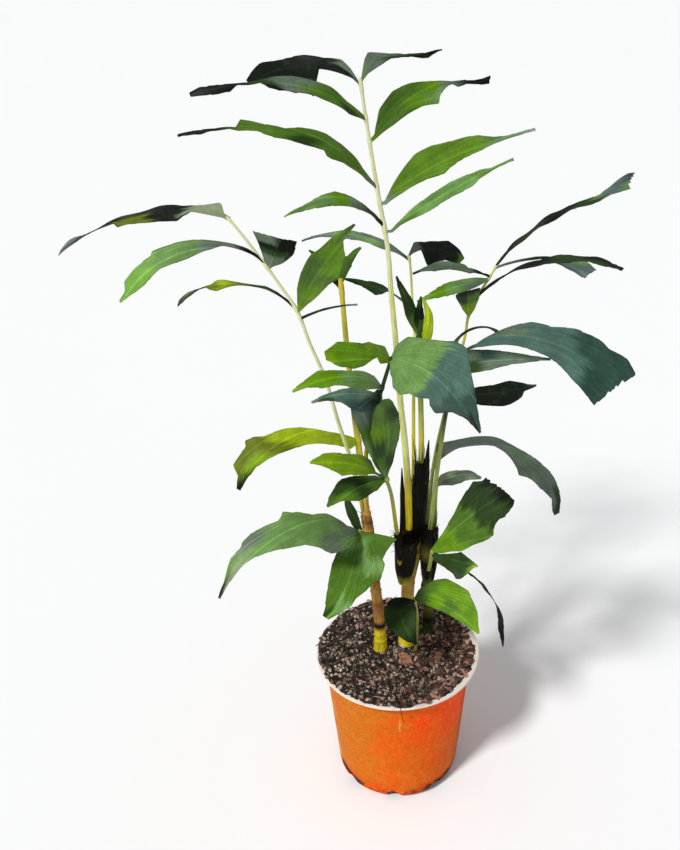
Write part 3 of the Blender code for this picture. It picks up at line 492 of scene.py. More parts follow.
        ((0, 2), (28, 8.5), (50, 9.5), (84, 5), (100, 1.5))),
    ("sucker", 0): (
        ((0, 1), (8, 8), (22, 15), (44, 24), (66, 24), (84, 13.5), (93, 5), (100, 1)),
        ((0, 1), (16, 5), (40, 6.5), (58, 6), (94, 2), (100, 1))),
}

# Tints of each petiole and rachis from its foot to its tip, and of each stem from the soil up, by height.
# Y yellow, Z bright yellow, E pale cream, C cream green, P pale green, G gold, B brown, K near black,
# D dark green, O dark olive, R red brown
# The near black and dark green up the front frond's petiole are painted shade
STALK_LOOKS = {
    "frond_tall": "GZZYCCCCCCEEEEEE", "frond_left": "RBYCCEEEEEEEE", "frond_right_back": "KPPPPYYCC",
    "frond_back": "YYYYPCCC", "frond_spear": "KKKPYPDDD", "frond_right_front": "KPPPPDDD",
    "frond_front": "RGYYKDDD", "frond_left_back": "RGYYYKYYYY", "frond_middle_low": "KOYYPP",
    "frond_left_low": "RGYYP", "frond_right_low": "OPPPP", "frond_right_arch": "KPPPP", "sucker": "YPPPPP",
}
STEM_LOOKS = {
    "stem_left": ((96, "Z"), (170, "Z"), (174, "R"), (176, "K"), (179, "K"), (183, "G"), (205, "R"),
                  (212, "G"), (244, "B")),
    "stem_middle": ((96, "Z"), (162, "Z"), (165, "K"), (170, "B"), (176, "G"), (196, "G"), (204, "Y"),
                    (212, "G"), (224, "G"), (240, "Y")),
    "stem_right": ((96, "K"), (150, "D"), (165, "K"), (178, "O"), (190, "K"), (214, "K")),
}
SHEATH_LOOKS = {"stem_left": "GRGBG", "stem_middle": "GYKKKKKK", "stem_right": "KKOKK"}

# The tints as linear red, green and blue
LEAF_TINTS = {
    "k": (0.003, 0.007, 0.003), "d": (0.020, 0.048, 0.008), "b": (0.022, 0.058, 0.042),
    "c": (0.060, 0.125, 0.096), "m": (0.068, 0.155, 0.014), "g": (0.108, 0.245, 0.006),
    "n": (0.150, 0.340, 0.050), "l": (0.170, 0.310, 0.005), "y": (0.310, 0.430, 0.010),
    "o": (0.115, 0.155, 0.006), "t": (0.135, 0.265, 0.070), "s": (0.110, 0.160, 0.105),
    "p": (0.230, 0.300, 0.160), "u": (0.098, 0.130, 0.108),
}
STALK_TINTS = {
    "Y": (0.480, 0.430, 0.040), "Z": (0.780, 0.620, 0.020), "C": (0.600, 0.640, 0.240),
    "E": (0.680, 0.700, 0.400), "P": (0.300, 0.380, 0.090), "G": (0.480, 0.270, 0.050),
    "B": (0.140, 0.070, 0.025), "K": (0.006, 0.006, 0.003), "D": (0.030, 0.060, 0.014),
    "O": (0.130, 0.120, 0.020), "R": (0.280, 0.100, 0.025),
}


# Settings

def colour_setting(name, description, default):
    return FloatVectorProperty(name=name, description=description, subtype="COLOR", default=default,
                               min=0, max=1)


def length_setting(name, description, default, low, high):
    return FloatProperty(name=name, description=description, default=default, unit="LENGTH",
                         min=low, max=high)


def number_setting(name, description, default, low, high):
    return FloatProperty(name=name, description=description, default=default, min=low, max=high)


def count_setting(name, description, default, low, high):
    return IntProperty(name=name, description=description, default=default, min=low, max=high)


class PotSettings(PropertyGroup):
    wall: colour_setting("Wall", "Orange of the pot's wall", (0.70, 0.122, 0.003))
    # The faded orange also paints light on the wall's left side, and the deep red is partly painted shade at
    # the right and low down
    faded: colour_setting("Faded wall", "Sun-bleached orange in patches of the wall", (0.60, 0.160, 0.006))
    deep: colour_setting("Deep wall", "Red orange on the shaded side and near the bottom",
                         (0.95, 0.072, 0.001))
    rim: colour_setting("Rim", "Cream of the flange", (0.74, 0.67, 0.60))
    segments: count_setting("Segments", "Segments round the pot", 144, 24, 512)
    warp: length_setting("Warp", "How far the thin wall is out of round", 0.35 * MM, 0, 2 * MM)


class SoilSettings(PropertyGroup):
    earth: colour_setting("Earth", "Colour of the potting mix", (0.060, 0.038, 0.027))
    perlite: colour_setting("Perlite", "Colour of the white grains", (0.80, 0.77, 0.72))
    bark: colour_setting("Bark", "Colour of the bark pieces", (0.19, 0.070, 0.040))
    lump_height: length_setting("Lump height", "Height of the soil's lumps", 4.2 * MM, 0, 8 * MM)
    thread: length_setting("Thread", "Thickness of a dry root lying on the mix", 0.9 * MM, 0.2 * MM, 3 * MM)
    grain: length_setting("Grain", "Length of a perlite grain", 3.6 * MM, 0.5 * MM, 6 * MM)


class StemSettings(PropertyGroup):
    sides: count_setting("Sides", "Sides of a stem's and a petiole's section", 20, 6, 64)
    ring: length_setting("Ring height", "How far a leaf scar stands out of a stem", 0.55 * MM, 0, 2 * MM)
    fibre: length_setting("Fibre", "Thickness of a sheath's loose fibres", 0.45 * MM, 0.1 * MM, 1 * MM)


class LeafSettings(PropertyGroup):
    cell: number_setting("Cell", "Spacing of the blade's mesh, in millimetres", 1.25, 0.5, 5)
    thickness: length_setting("Thickness", "Thickness of a blade", 0.45 * MM, 0.1 * MM, 2 * MM)
    tooth: number_setting("Tooth", "Depth of the ragged margin, in millimetres", 2.0, 0, 8)
    pleat: number_setting("Pleat", "Height of the pleats along the veins, in millimetres", 0.35, 0, 2)


class StageSettings(PropertyGroup):
    floor: colour_setting("Floor", "Colour of the floor", (0.900, 0.912, 0.930))
    sky: number_setting("Sky", "Brightness of the even light", 0.42, 0, 5)
    key: number_setting("Key", "Strength of the key light", 2.75, 0, 20)
    key_width: FloatProperty(name="Key width", description="Width of the key light as seen from the palm",
                             default=math.radians(9), unit="ROTATION", min=0, max=math.pi)


class PalmSettings(PropertyGroup):
    pot: PointerProperty(type=PotSettings, name="Pot", description="Sizes and colours of the pot")
    soil: PointerProperty(type=SoilSettings, name="Soil", description="Sizes and colours of the potting mix")
    stem: PointerProperty(type=StemSettings, name="Stems", description="Sizes of stems and petioles")
    leaf: PointerProperty(type=LeafSettings, name="Leaves", description="Sizes of the blades")
    stage: PointerProperty(type=StageSettings, name="Stage", description="Floor and lights")


# Nodes

def worked(operation, reflected=False):
    """A method that works out an operation on a wire and another value, in the other order if reflected."""
    def method(self, other):
        return self.work(operation, *((other, self) if reflected else (self, other)))
    return method


class Wire:
    """One socket of a node tree, on which numbers and vectors are worked out as if they were values."""

    def __init__(self, tree, socket):
        self.tree = tree
        self.socket = socket

    def also(self, name):
        """Another output of the same node."""
        return Wire(self.tree, self.socket.node.outputs[name])

    def wide(self):
        return self.socket.type in ("VECTOR", "RGBA")

    def work(self, operation, *values):
        wide = any(v.wide() if isinstance(v, Wire) else isinstance(v, tuple) for v in values)
        node = self.tree.nodes.new("ShaderNodeVectorMath" if wide else "ShaderNodeMath")
        node.operation = operation
        for socket, value in zip(node.inputs, values):
            feed(self.tree, socket, value)
        return Wire(self.tree, node.outputs[0])

    __add__ = worked("ADD")
    __radd__ = worked("ADD", reflected=True)
    __sub__ = worked("SUBTRACT")
    __rsub__ = worked("SUBTRACT", reflected=True)
    __mul__ = worked("MULTIPLY")
    __rmul__ = worked("MULTIPLY", reflected=True)
    __truediv__ = worked("DIVIDE")
    __rtruediv__ = worked("DIVIDE", reflected=True)
    __pow__ = worked("POWER")
    __mod__ = worked("FLOORED_MODULO")
    __gt__ = worked("GREATER_THAN")
    larger = worked("MAXIMUM")
    smaller = worked("MINIMUM")

    def __neg__(self):
        return self.work("MULTIPLY", self, -1.0)

    def __abs__(self):
        return self.work("ABSOLUTE", self)

    def floor(self):
        return self.work("FLOOR", self)

    def sine(self):
        return self.work("SINE", self)



def feed(tree, socket, value):
    """Link or set one input socket."""
    if isinstance(value, Wire):
        tree.links.new(value.socket, socket)
    elif isinstance(value, list):
        for one in value:
            tree.links.new(one.socket, socket)
    elif hasattr(socket.default_value, "__len__") and not isinstance(value, str):
        size = len(socket.default_value)
        parts = tuple(value) if hasattr(value, "__len__") else (value,) * min(size, 3)
        socket.default_value = parts + (1.0,) * (size - len(parts))
    else:
        socket.default_value = value


class Recipe:
    """A node tree being written, for a finish or for a shape."""

    def __init__(self, tree):
        self.tree = tree

    def node(self, kind, settings=None, sockets=None, out=0):
        """Add any node: its type, its settings, then the values or links of its sockets."""
        node = self.tree.nodes.new(kind)
        for key, value in (settings or {}).items():
            setattr(node, key, value)
        for key, value in (sockets or {}).items():
            socket = next(s for s in node.inputs if s.enabled and s.name == key)
            feed(self.tree, socket, value)
        outputs = [s for s in node.outputs if s.enabled]
        found = outputs[out] if isinstance(out, int) else next(s for s in outputs if s.name == out)
        return Wire(self.tree, found)

    def mix(self, factor, first, second, blend="MIX"):
        return self.node("ShaderNodeMix", {"data_type": "RGBA", "blend_type": blend},
                         {"Factor": factor, "A": first, "B": second})

    def times(self, colour, other):
        return self.mix(1.0, colour, other, "MULTIPLY")

    def plus(self, colour, other):
        return self.mix(1.0, colour, other, "ADD")

    def varied(self, colour, by, dark, light):
        """A colour multiplied by one that goes from dark to light as a value goes from 0 to 1."""
        return self.times(colour, self.mix(by, dark, light))

    def painted(self, colour, *coats):
        """Lay coats over a colour, one after the other: each a mask and its paint."""
        for mask, paint in coats:
            colour = self.mix(mask, colour, paint)
        return colour

    def ease(self, value, low, high, start=0.0, end=1.0):
        """Smooth change from start to end as the value goes from low to high."""
        return self.node("ShaderNodeMapRange", {"interpolation_type": "SMOOTHSTEP"},
                         {"Value": value, "From Min": low, "From Max": high, "To Min": start, "To Max": end})

    def noise(self, vector, scale, detail=3.0, roughness=0.55):
        return self.node("ShaderNodeTexNoise", None, {
            "Vector": vector, "Scale": scale, "Detail": detail, "Roughness": roughness})

    def axes(self, vector):
        """The three parts of a vector."""
        first = self.node("ShaderNodeSeparateXYZ", None, {"Vector": vector})
        return first, first.also("Y"), first.also("Z")

    def vector(self, x=0.0, y=0.0, z=0.0):
        return self.node("ShaderNodeCombineXYZ", None, {"X": x, "Y": y, "Z": z})

    def stretched(self, vector, scale):
        return self.node("ShaderNodeMapping", {"vector_type": "POINT"}, {"Vector": vector, "Scale": scale})

    def attribute(self, name, out="Fac"):
        return self.node("ShaderNodeAttribute", {"attribute_name": name}, None, out)

    def place(self):
        return self.node("ShaderNodeTexCoord", None, None, "Object")

    def here(self):
        """Position of each point of a shape."""
        return self.node("GeometryNodeInputPosition")

    def named(self, name):
        return self.node("GeometryNodeInputNamedAttribute", {"data_type": "FLOAT"}, {"Name": name})

    def stored(self, geometry, name, value, kind="FLOAT", domain="POINT"):
        return self.node("GeometryNodeStoreNamedAttribute", {"data_type": kind, "domain": domain}, {
            "Geometry": geometry, "Name": name, "Value": value})

    def moved(self, geometry, how, where):
        """Move every point: how is Position or Offset."""
        return self.node("GeometryNodeSetPosition", None, {"Geometry": geometry, how: where})

    def merged(self, geometry, distance):
        return self.node("GeometryNodeMergeByDistance", None, {"Geometry": geometry, "Distance": distance})

    def random(self, low, high, seed, kind="FLOAT"):
        return self.node("FunctionNodeRandomValue", {"data_type": kind}, {
            "Min": low, "Max": high, "Seed": seed})


def finish_of(name, preview):
    """A new material and the recipe of its nodes."""
    mat = bpy.data.materials.new(name)
    mat.use_nodes = True
    mat.node_tree.nodes.clear()
    mat.diffuse_color = (*preview, 1.0)
    return mat, Recipe(mat.node_tree)


def surface(recipe, base, rough, height=None, depth=1 * MM, strength=1.0, fixed=None):
    """Principled shader with varying colour, roughness and relief, and plain values on its other sockets."""
    sockets = {"Base Color": base, "Roughness": rough, **(fixed or {})}
    if height is not None:
        sockets["Normal"] = recipe.node("ShaderNodeBump", None, {
            "Height": height, "Distance": depth, "Strength": strength})
    shader = recipe.node("ShaderNodeBsdfPrincipled", None, sockets)
    leave = recipe.tree.nodes.new("ShaderNodeOutputMaterial")
    recipe.tree.links.new(shader.socket, leave.inputs["Surface"])


def shape_tree(name, inputs):
    """A geometry node group with a geometry input, the named inputs and a material, and its recipe."""
    tree = bpy.data.node_groups.new(name, "GeometryNodeTree")
    face = tree.interface
    face.new_socket("Geometry", in_out="INPUT", socket_type="NodeSocketGeometry")
    for label, kind, default in inputs:
        item = face.new_socket(label, in_out="INPUT", socket_type="NodeSocket" + kind)
        item.default_value = default
    face.new_socket("Material", in_out="INPUT", socket_type="NodeSocketMaterial")
    face.new_socket("Geometry", in_out="OUTPUT", socket_type="NodeSocketGeometry")
    entry = tree.nodes.new("NodeGroupInput")
    return Recipe(tree), {s.name: Wire(tree, s) for s in entry.outputs if s.name}


def close_tree(recipe, given, geometry):
    """End a shape tree in plain geometry with its material."""
    plain = recipe.node("GeometryNodeRealizeInstances", None, {"Geometry": geometry})
    coated = recipe.node("GeometryNodeSetMaterial", None, {"Geometry": plain, "Material": given["Material"]})
    leave = recipe.tree.nodes.new("NodeGroupOutput")
    recipe.tree.links.new(coated.socket, leave.inputs[0])
    return recipe.tree


def placed(name, mesh):
    """A mesh as an object of the scene, at the origin."""
    piece = bpy.data.objects.new(name, mesh)
    bpy.context.scene.collection.objects.link(piece)
    return piece


def grown(name, mesh, tree, mat, **inputs):
    """Run a shape tree on a mesh and keep the result as a plain mesh object at the origin."""
    base = placed(name + "_base", mesh)
    mod = base.modifiers.new(tree.name, "NODES")
    mod.node_group = tree
    values = {key.replace("_", " ").capitalize(): value for key, value in inputs.items()}
    values["Material"] = mat
    for item in tree.interface.items_tree:
        if item.item_type == "SOCKET" and item.in_out == "INPUT" and item.name in values:
            mod[item.identifier] = values.pop(item.name)
    if values:
        raise ValueError(f"{tree.name} has no input named {sorted(values)}")
    bpy.context.view_layer.update()
    graph = bpy.context.evaluated_depsgraph_get()
    result = bpy.data.meshes.new_from_object(base.evaluated_get(graph), preserve_all_data_layers=True,
                                             depsgraph=graph)
    base.modifiers.remove(mod)
    bpy.data.objects.remove(base)
    result.name = name
    if not result.polygons:
        raise RuntimeError(f"{name} came out empty")
    return placed(name, result)


def mended(piece, merge=0.01 * MM):
    """Merge doubles and turn every face outwards."""
    cage = bmesh.new()
    cage.from_mesh(piece.data)
    bmesh.ops.remove_doubles(cage, verts=cage.verts, dist=merge)
    bmesh.ops.dissolve_degenerate(cage, dist=merge / 10, edges=cage.edges)
    bmesh.ops.recalc_face_normals(cage, faces=cage.faces)
    cage.to_mesh(piece.data)
    cage.free()
    return piece


def dressed(piece, replaces=None, smooth=True, sharp=None):
    """Smooth a finished piece, attach it to the body and hide the imported part that it replaces."""
    if smooth:
        piece.data.shade_smooth()
    if sharp:
        piece.data.set_sharp_from_angle(angle=math.radians(sharp))
    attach(piece, BODY)
    if replaces:
        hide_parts(replaces)


LAYER_KINDS = {1: ("FLOAT", "value"), 3: ("FLOAT_VECTOR", "vector"), 4: ("FLOAT_COLOR", "color")}


def mesh_with(name, verts, edges=(), faces=(), **layers):
    """Mesh with named point attributes: a number, a vector or a colour for each point."""
    mesh = bpy.data.meshes.new(name)
    mesh.from_pydata([tuple(v) for v in verts], list(edges), list(faces))
    for label, values in layers.items():
        values = np.asarray(values, np.float32)
        width = 1 if values.ndim == 1 else values.shape[1]
        kind, field = LAYER_KINDS[width]
        layer = mesh.attributes.new(label, kind, "POINT")
        layer.data.foreach_set(field, values.ravel())
    return mesh


# Shape trees

@cache
def lathe_tree():
    """Turns a profile, given as a chain of points with radius along X, about the Z axis."""
    r, given = shape_tree("palm_lathe", [("Segments", "Int", 96), ("Warp", "Float", 0.0)])
    count = r.node("GeometryNodeAttributeDomainSize", {"component": "MESH"}, {
        "Geometry": given["Geometry"]}, "Point Count")
    grid = r.node("GeometryNodeMeshGrid", None, {
        "Vertices X": given["Segments"] + 1, "Vertices Y": count})
    index = r.node("GeometryNodeInputIndex")
    row = index % count
    turn = (index / count).floor() * (math.tau / given["Segments"])
    point = r.node("GeometryNodeSampleIndex", {"data_type": "FLOAT_VECTOR", "domain": "POINT"}, {
        "Geometry": given["Geometry"], "Value": r.here(), "Index": row})
    across, _, height = r.axes(point)
    swell = given["Warp"] * ((turn * 2 + 0.7).sine() + 0.6 * (turn * 5 + 40 * height).sine())
    out = (across + swell * (across / RIM_RADIUS)).larger(0.0)
    side = r.node("ShaderNodeVectorRotate", {"rotation_type": "Z_AXIS"}, {
        "Vector": r.vector(out, 0.0, height), "Angle": turn})
    return close_tree(r, given, r.merged(r.moved(grid, "Position", side), 0.01 * MM))


@cache
def tube_tree():
    """Round tube along every chain of points, with the radius that each point gives."""
    r, given = shape_tree("palm_tube", [("Sides", "Int", 12)])
    path = r.node("GeometryNodeMeshToCurve", None, {"Mesh": given["Geometry"]})
    girth = r.named("girth")
    far = r.node("GeometryNodeSplineParameter", None, None, "Length")
    path = r.stored(path, "lengthwise", far)
    ring = r.node("GeometryNodeCurvePrimitiveCircle", {"mode": "RADIUS"}, {
        "Resolution": given["Sides"], "Radius": 1.0})
    ring = r.stored(ring, "around", r.here(), "FLOAT_VECTOR")
    tube = r.node("GeometryNodeCurveToMesh", None, {
        "Curve": path, "Profile Curve": ring, "Scale": girth, "Fill Caps": True})
    return close_tree(r, given, tube)


@cache
def blade_tree():
    """Gives leaf sheets a thickness: the sheet's front goes on the upper side, and marks its underside."""
    r, given = shape_tree("palm_blade", [("Thickness", "Float", 0.45 * MM)])
    thick = r.named("stout") * given["Thickness"]
    normal = r.node("GeometryNodeInputNormal")
    low = r.moved(given["Geometry"], "Offset", normal * (thick * -0.5))
    raised = r.node("GeometryNodeExtrudeMesh", {"mode": "FACES"}, {
        "Mesh": low, "Offset Scale": thick, "Individual": False})
    back = r.node("GeometryNodeFlipFaces", None, {"Mesh": low})
    back = r.stored(back, "under", 1.0, domain="FACE")
    both = r.node("GeometryNodeJoinGeometry", None, {"Geometry": [raised, back]})
    return close_tree(r, given, r.merged(both, 0.002 * MM))


@cache
def lumps_tree():
    """Lumps on the potting mix, and the ragged edge where it spills over the flange."""
    r, given = shape_tree("palm_lumps", [("Height", "Float", 3 * MM), ("Edge", "Float", 72 * MM)])
    place = r.here()
    x, y, z = r.axes(place)
    reach = (x * x + y * y) ** 0.5
    top = r.ease(z, SOIL_LEVEL - 2 * MM, SOIL_LEVEL - 0.5 * MM)
    level = r.ease(reach, given["Edge"] - 10 * MM, given["Edge"], 1.0, 0.22)
    coarse = r.noise(place, 95.0, 5.0, 0.68)
    fine = r.noise(place, 420.0, 3.0, 0.6)
    up = (coarse - 0.5) * 1.7 + (fine - 0.5) * 0.6
    spilt = ((reach - given["Edge"]) / SPILL_WIDTH).larger(0.0)
    patch = r.noise(place, 70.0, 2.0, 0.6)
    back = 0.24 + 0.26 * (x / RIM_RADIUS) + (patch - 0.5) * 1.1 + (fine - 0.5) * 0.5
    pull = spilt * back.larger(0.0).smaller(1.0) * (SPILL_WIDTH / RIM_RADIUS)
    height = (z + up * given["Height"] * top * level).larger(FLANGE_TOP * (spilt > 0.12))
    where = r.vector(x * (1 - pull), y * (1 - pull), height)
    return close_tree(r, given, r.moved(given["Geometry"], "Position", where))


@cache
def scatter_tree():
    """Strews crumbled grains over the upward faces of a surface, more of them towards one side."""
    r, given = shape_tree("palm_scatter", [
        ("Density", "Float", 20000.0), ("Length", "Float", 2 * MM), ("Smallest", "Float", 0.5),
        ("Flatness", "Float", 0.7), ("Slimness", "Float", 0.8), ("Right bias", "Float", 0.0),
        ("Clumping", "Float", 0.0), ("Edge", "Float", 74 * MM), ("Sink", "Float", 0.0), ("Faces", "Int", 1),
        ("Seed", "Int", 0)])
    place = r.here()
    x, y, z = r.axes(place)
    _, _, up = r.axes(r.node("GeometryNodeInputNormal"))
    inside = (given["Edge"] > (x * x + y * y) ** 0.5) * (z > SOIL_LEVEL - 4 * MM) * (up > 0.3)
    bias = (1 + given["Right bias"] * (x / (40 * MM))).larger(0.05)
    clump = r.ease(r.noise(place, 60.0, 2.0), 0.42, 0.62)
    thin = 1 - given["Clumping"] + given["Clumping"] * clump * 2
    density = given["Density"] * inside * bias * thin
    points = r.node("GeometryNodeDistributePointsOnFaces", {"distribute_method": "RANDOM"}, {
        "Mesh": given["Geometry"], "Density": density, "Seed": given["Seed"]})
    kinds = []
    for kind in range(GRAIN_KINDS):
        ball = r.node("GeometryNodeMeshIcoSphere", None, {
            "Radius": 0.5, "Subdivisions": given["Faces"]}, "Mesh")
        own = r.here() + (3.7 * kind, 1.3, 0.4 * kind)
        dent = r.noise(own, 1.9, 1.0).also("Color") - (0.5, 0.5, 0.5)
        bent = r.moved(ball, "Offset", dent * (1.3, 1.3, 1.3))
        kinds.append(r.node("GeometryNodeGeometryToInstance", None, {"Geometry": bent}))
    grains = r.node("GeometryNodeJoinGeometry", None, {"Geometry": kinds})
    seed = given["Seed"]
    size = r.random(given["Smallest"], 1.0, seed + 1) * given["Length"]
    slim = r.random(given["Slimness"] * 0.7, given["Slimness"], seed + 2)
    flat = r.random(given["Flatness"] * 0.6, given["Flatness"], seed + 3)
    turn = r.random((-0.5, -0.5, 0.0), (0.5, 0.5, math.tau), seed + 4, "FLOAT_VECTOR")
    angle = r.node("FunctionNodeEulerToRotation", None, {"Euler": turn})
    pick = r.random(0, GRAIN_KINDS - 1, seed + 5, "INT")
    strewn = r.node("GeometryNodeInstanceOnPoints", None, {
        "Points": points, "Instance": grains, "Pick Instance": True, "Instance Index": pick,
        "Rotation": angle, "Scale": r.vector(size, size * slim, size * flat)})
    strewn = r.stored(strewn, "shade", r.random(0.0, 1.0, seed + 6), domain="INSTANCE")
    sunk = r.moved(strewn, "Offset", r.vector(0.0, 0.0, -given["Sink"]))
    return close_tree(r, given, sunk)


@cache
def drain_tree():
    """Cuts the ring of drainage holes through the pot's lower corner."""
    r, given = shape_tree("palm_drains", [
        ("Holes", "Int", DRAIN_HOLES), ("Radius", "Float", DRAIN_RADIUS), ("Ring", "Float", 60 * MM),
        ("Height", "Float", 5 * MM), ("Tilt", "Float", 0.6), ("Start", "Float", 0.0)])
    ring = r.node("GeometryNodeMeshCircle", None, {"Vertices": given["Holes"], "Radius": given["Ring"]})
    turn = r.node("FunctionNodeEulerToRotation", None, {"Euler": r.vector(0, 0, given["Start"])})
    ring = r.node("GeometryNodeTransform", None, {
        "Geometry": ring, "Translation": r.vector(0.0, 0.0, given["Height"]), "Rotation": turn})
    x, y, _ = r.axes(r.here())
    outward = r.vector(x / given["Ring"], y / given["Ring"], -given["Tilt"])
    aim = r.node("FunctionNodeAlignRotationToVector", {"axis": "Z"}, {"Vector": outward})
    plug = r.node("GeometryNodeMeshCylinder", None, {
        "Vertices": DRAIN_SIDES, "Radius": given["Radius"], "Depth": DRAIN_PLUG}, "Mesh")
    plugs = r.node("GeometryNodeInstanceOnPoints", None, {
        "Points": ring, "Instance": plug, "Rotation": aim})
    plugs = r.node("GeometryNodeRealizeInstances", None, {"Geometry": plugs})
    cut = r.node("GeometryNodeMeshBoolean", {"operation": "DIFFERENCE", "solver": "EXACT"}, {
        "Mesh 1": given["Geometry"], "Mesh 2": plugs}, "Mesh")
    return close_tree(r, given, cut)


# Routes

def smooth_route(route, per=8):
    """Points of a smooth curve through the route's own points, in metres."""
    pts = np.array(route, float) * MM
    ends = np.vstack([2 * pts[0] - pts[1], pts, 2 * pts[-1] - pts[-2]])
    out = []
    for i in range(1, len(ends) - 2):
        a, b, c, d = ends[i - 1:i + 3]
        for t in np.arange(per) / per:
            out.append(0.5 * (2 * b + (c - a) * t + (2 * a - 5 * b + 4 * c - d) * t ** 2
                              + (3 * b - a - 3 * c + d) * t ** 3))
    out.append(pts[-1])
    return np.array(out)


def reach_of(points):
    """How far along a route each of its points lies."""
    return np.concatenate([[0.0], np.cumsum(np.linalg.norm(np.diff(points, axis=0), axis=1))])


def at_places(places, known, points):
    """Points between the known places of a route."""
    return np.stack([np.interp(places, known, points[:, k]) for k in range(3)], -1)


def along(points, share):
    """Point at a share of the route's length."""
    reach = reach_of(points)
    return at_places(share * reach[-1], reach, points)


def evenly(points, step):
    """The same route in even steps."""
    reach = reach_of(points)
    places = np.linspace(0, reach[-1], max(2, int(reach[-1] / step)))
    return at_places(places, reach, points), places


def tint_along(letters, shares, table, blend=1.0):
    """Colours at shares of a length, from tint letters spread evenly over it, each blended into the next."""
    stops = np.array([table[letter] for letter in letters])
    place = np.clip(shares, 0, 1) * (len(letters) - 1)
    whole = np.floor(place).astype(int)
    part = np.clip((place - whole - 0.5) / blend + 0.5, 0, 1)[..., None]
    following = stops[np.minimum(whole + 1, len(letters) - 1)]
    return stops[whole] * (1 - part) + following * part


# Blades

def blade_frame(leaf, s):
    """Directions along, across and out of a blade at shares of its length."""
    pitch = np.radians(leaf.rise - leaf.droop * s)
    head = np.radians(leaf.heading + leaf.swing * s)
    forward = np.stack([np.cos(pitch) * np.cos(head), np.cos(pitch) * np.sin(head), np.sin(pitch)], -1)
    side = np.stack([-np.sin(head), np.cos(head), np.zeros_like(head)], -1)
    out = np.cross(forward, side)
    roll = math.radians(leaf.roll)
    rolled = side * math.cos(roll) + out * math.sin(roll)
    return forward, rolled, out * math.cos(roll) - side * math.sin(roll)


def margin_widths(margin, s):
    """Half widths of a blade in millimetres, rounded off between the places where they are given."""
    fine = np.linspace(0, 1, 301)
    if isinstance(margin[0], tuple):
        width = np.interp(fine * 100, [at for at, _ in margin], [w for _, w in margin])
        spread = 2
    else:
        width = np.maximum(0.8, np.interp(fine, MARGIN_STATIONS, (ROOT_HALF_WIDTH, *margin)))
        spread = 12
    kernel = np.exp(-np.linspace(-2, 2, 2 * spread + 1) ** 2)
    padded = np.concatenate([np.full(spread, width[0]), width, np.full(spread, width[-1])])
    return np.interp(s, fine, np.convolve(padded, kernel / kernel.sum(), "valid"))


def bites(rng, length, start, s):
    """Share of the deepest tooth that is missing from a margin; each tooth points forward."""
    fine = np.linspace(0, 1, 800)
    gone = np.zeros(800)
    place = start
    while place < 1.0:
        pitch = rng.uniform(5, 17) / length
        inside = (fine >= place) & (fine < place + pitch)
        gone[inside] = rng.uniform(0.15, 1.0) * (1 - (fine[inside] - place) / pitch) ** 0.9
        place += pitch
    return np.interp(s, fine, gone) * (0.4 + 0.6 * np.clip((s - start) / (1 - start), 0, 1))


def ragged_end(rng, across, width, length):
    """How far each strip of a blade stops short of its end, in millimetres."""
    gone = np.zeros(len(across))
    deepest = np.clip((width - 4) * 0.20, 0, min(3.6, length * 0.026))
    place = -1.0
    while place < 1.0:
        pitch = rng.uniform(3.0, 8.0) / max(width, 3.0) * 2
        inside = (across >= place) & (across < place + pitch)
        gone[inside] = deepest * rng.uniform(0.1, 1.0) * (across[inside] - place) / pitch
        place += pitch
    return gone


def midline(leaf, root, s):
    """Points on a blade's midline at shares of its length."""
    steps = (np.arange(MIDLINE_STEPS) + 0.5) / MIDLINE_STEPS
    ahead = np.cumsum(blade_frame(leaf, steps)[0], axis=0) * leaf.length * MM / MIDLINE_STEPS
    return at_places(s * MIDLINE_STEPS, np.arange(MIDLINE_STEPS + 1), np.vstack([root, root + ahead]))


def ragged_margins(margins, leaf, tooth, s, rng):
    """Half widths of a blade above and below its midline, with the teeth bitten out of both margins."""
    upper, lower = (margin_widths(margin, s) for margin in margins)
    deepest = np.minimum(tooth, (upper + lower) * 0.16)
    starts = rng.uniform(0.3, 0.42), rng.uniform(0.3, 0.42)
    for width, start in zip((upper, lower), starts):
        width -= deepest * bites(rng, leaf.length, start, s)
    return upper, np.maximum(lower, NARROWEST - upper)


def blade_tints(leaf, looks, across, s):
    """Colour of each point of a blade, with its veins' strength as alpha; the tints end raggedly."""
    shifts = np.random.default_rng(round(leaf.length * 10)).normal(0, 1, (2, len(across)))
    shift = (shifts[0] * 0.7 + np.convolve(shifts[1], np.ones(5) / 2.2, "same")) * TINT_SHIFT
    seen = s + shift[None, :] * np.clip(s * 6, 0, 1)
    weight = np.clip(across * 3 + 0.5, 0, 1)[None, :, None]
    tint = (tint_along(looks.upper, seen, LEAF_TINTS, TINT_BLEND) * weight
            + tint_along(looks.lower, seen, LEAF_TINTS, TINT_BLEND) * (1 - weight))
    return np.concatenate([tint, np.full((*s.shape, 1), looks.veins)], -1)


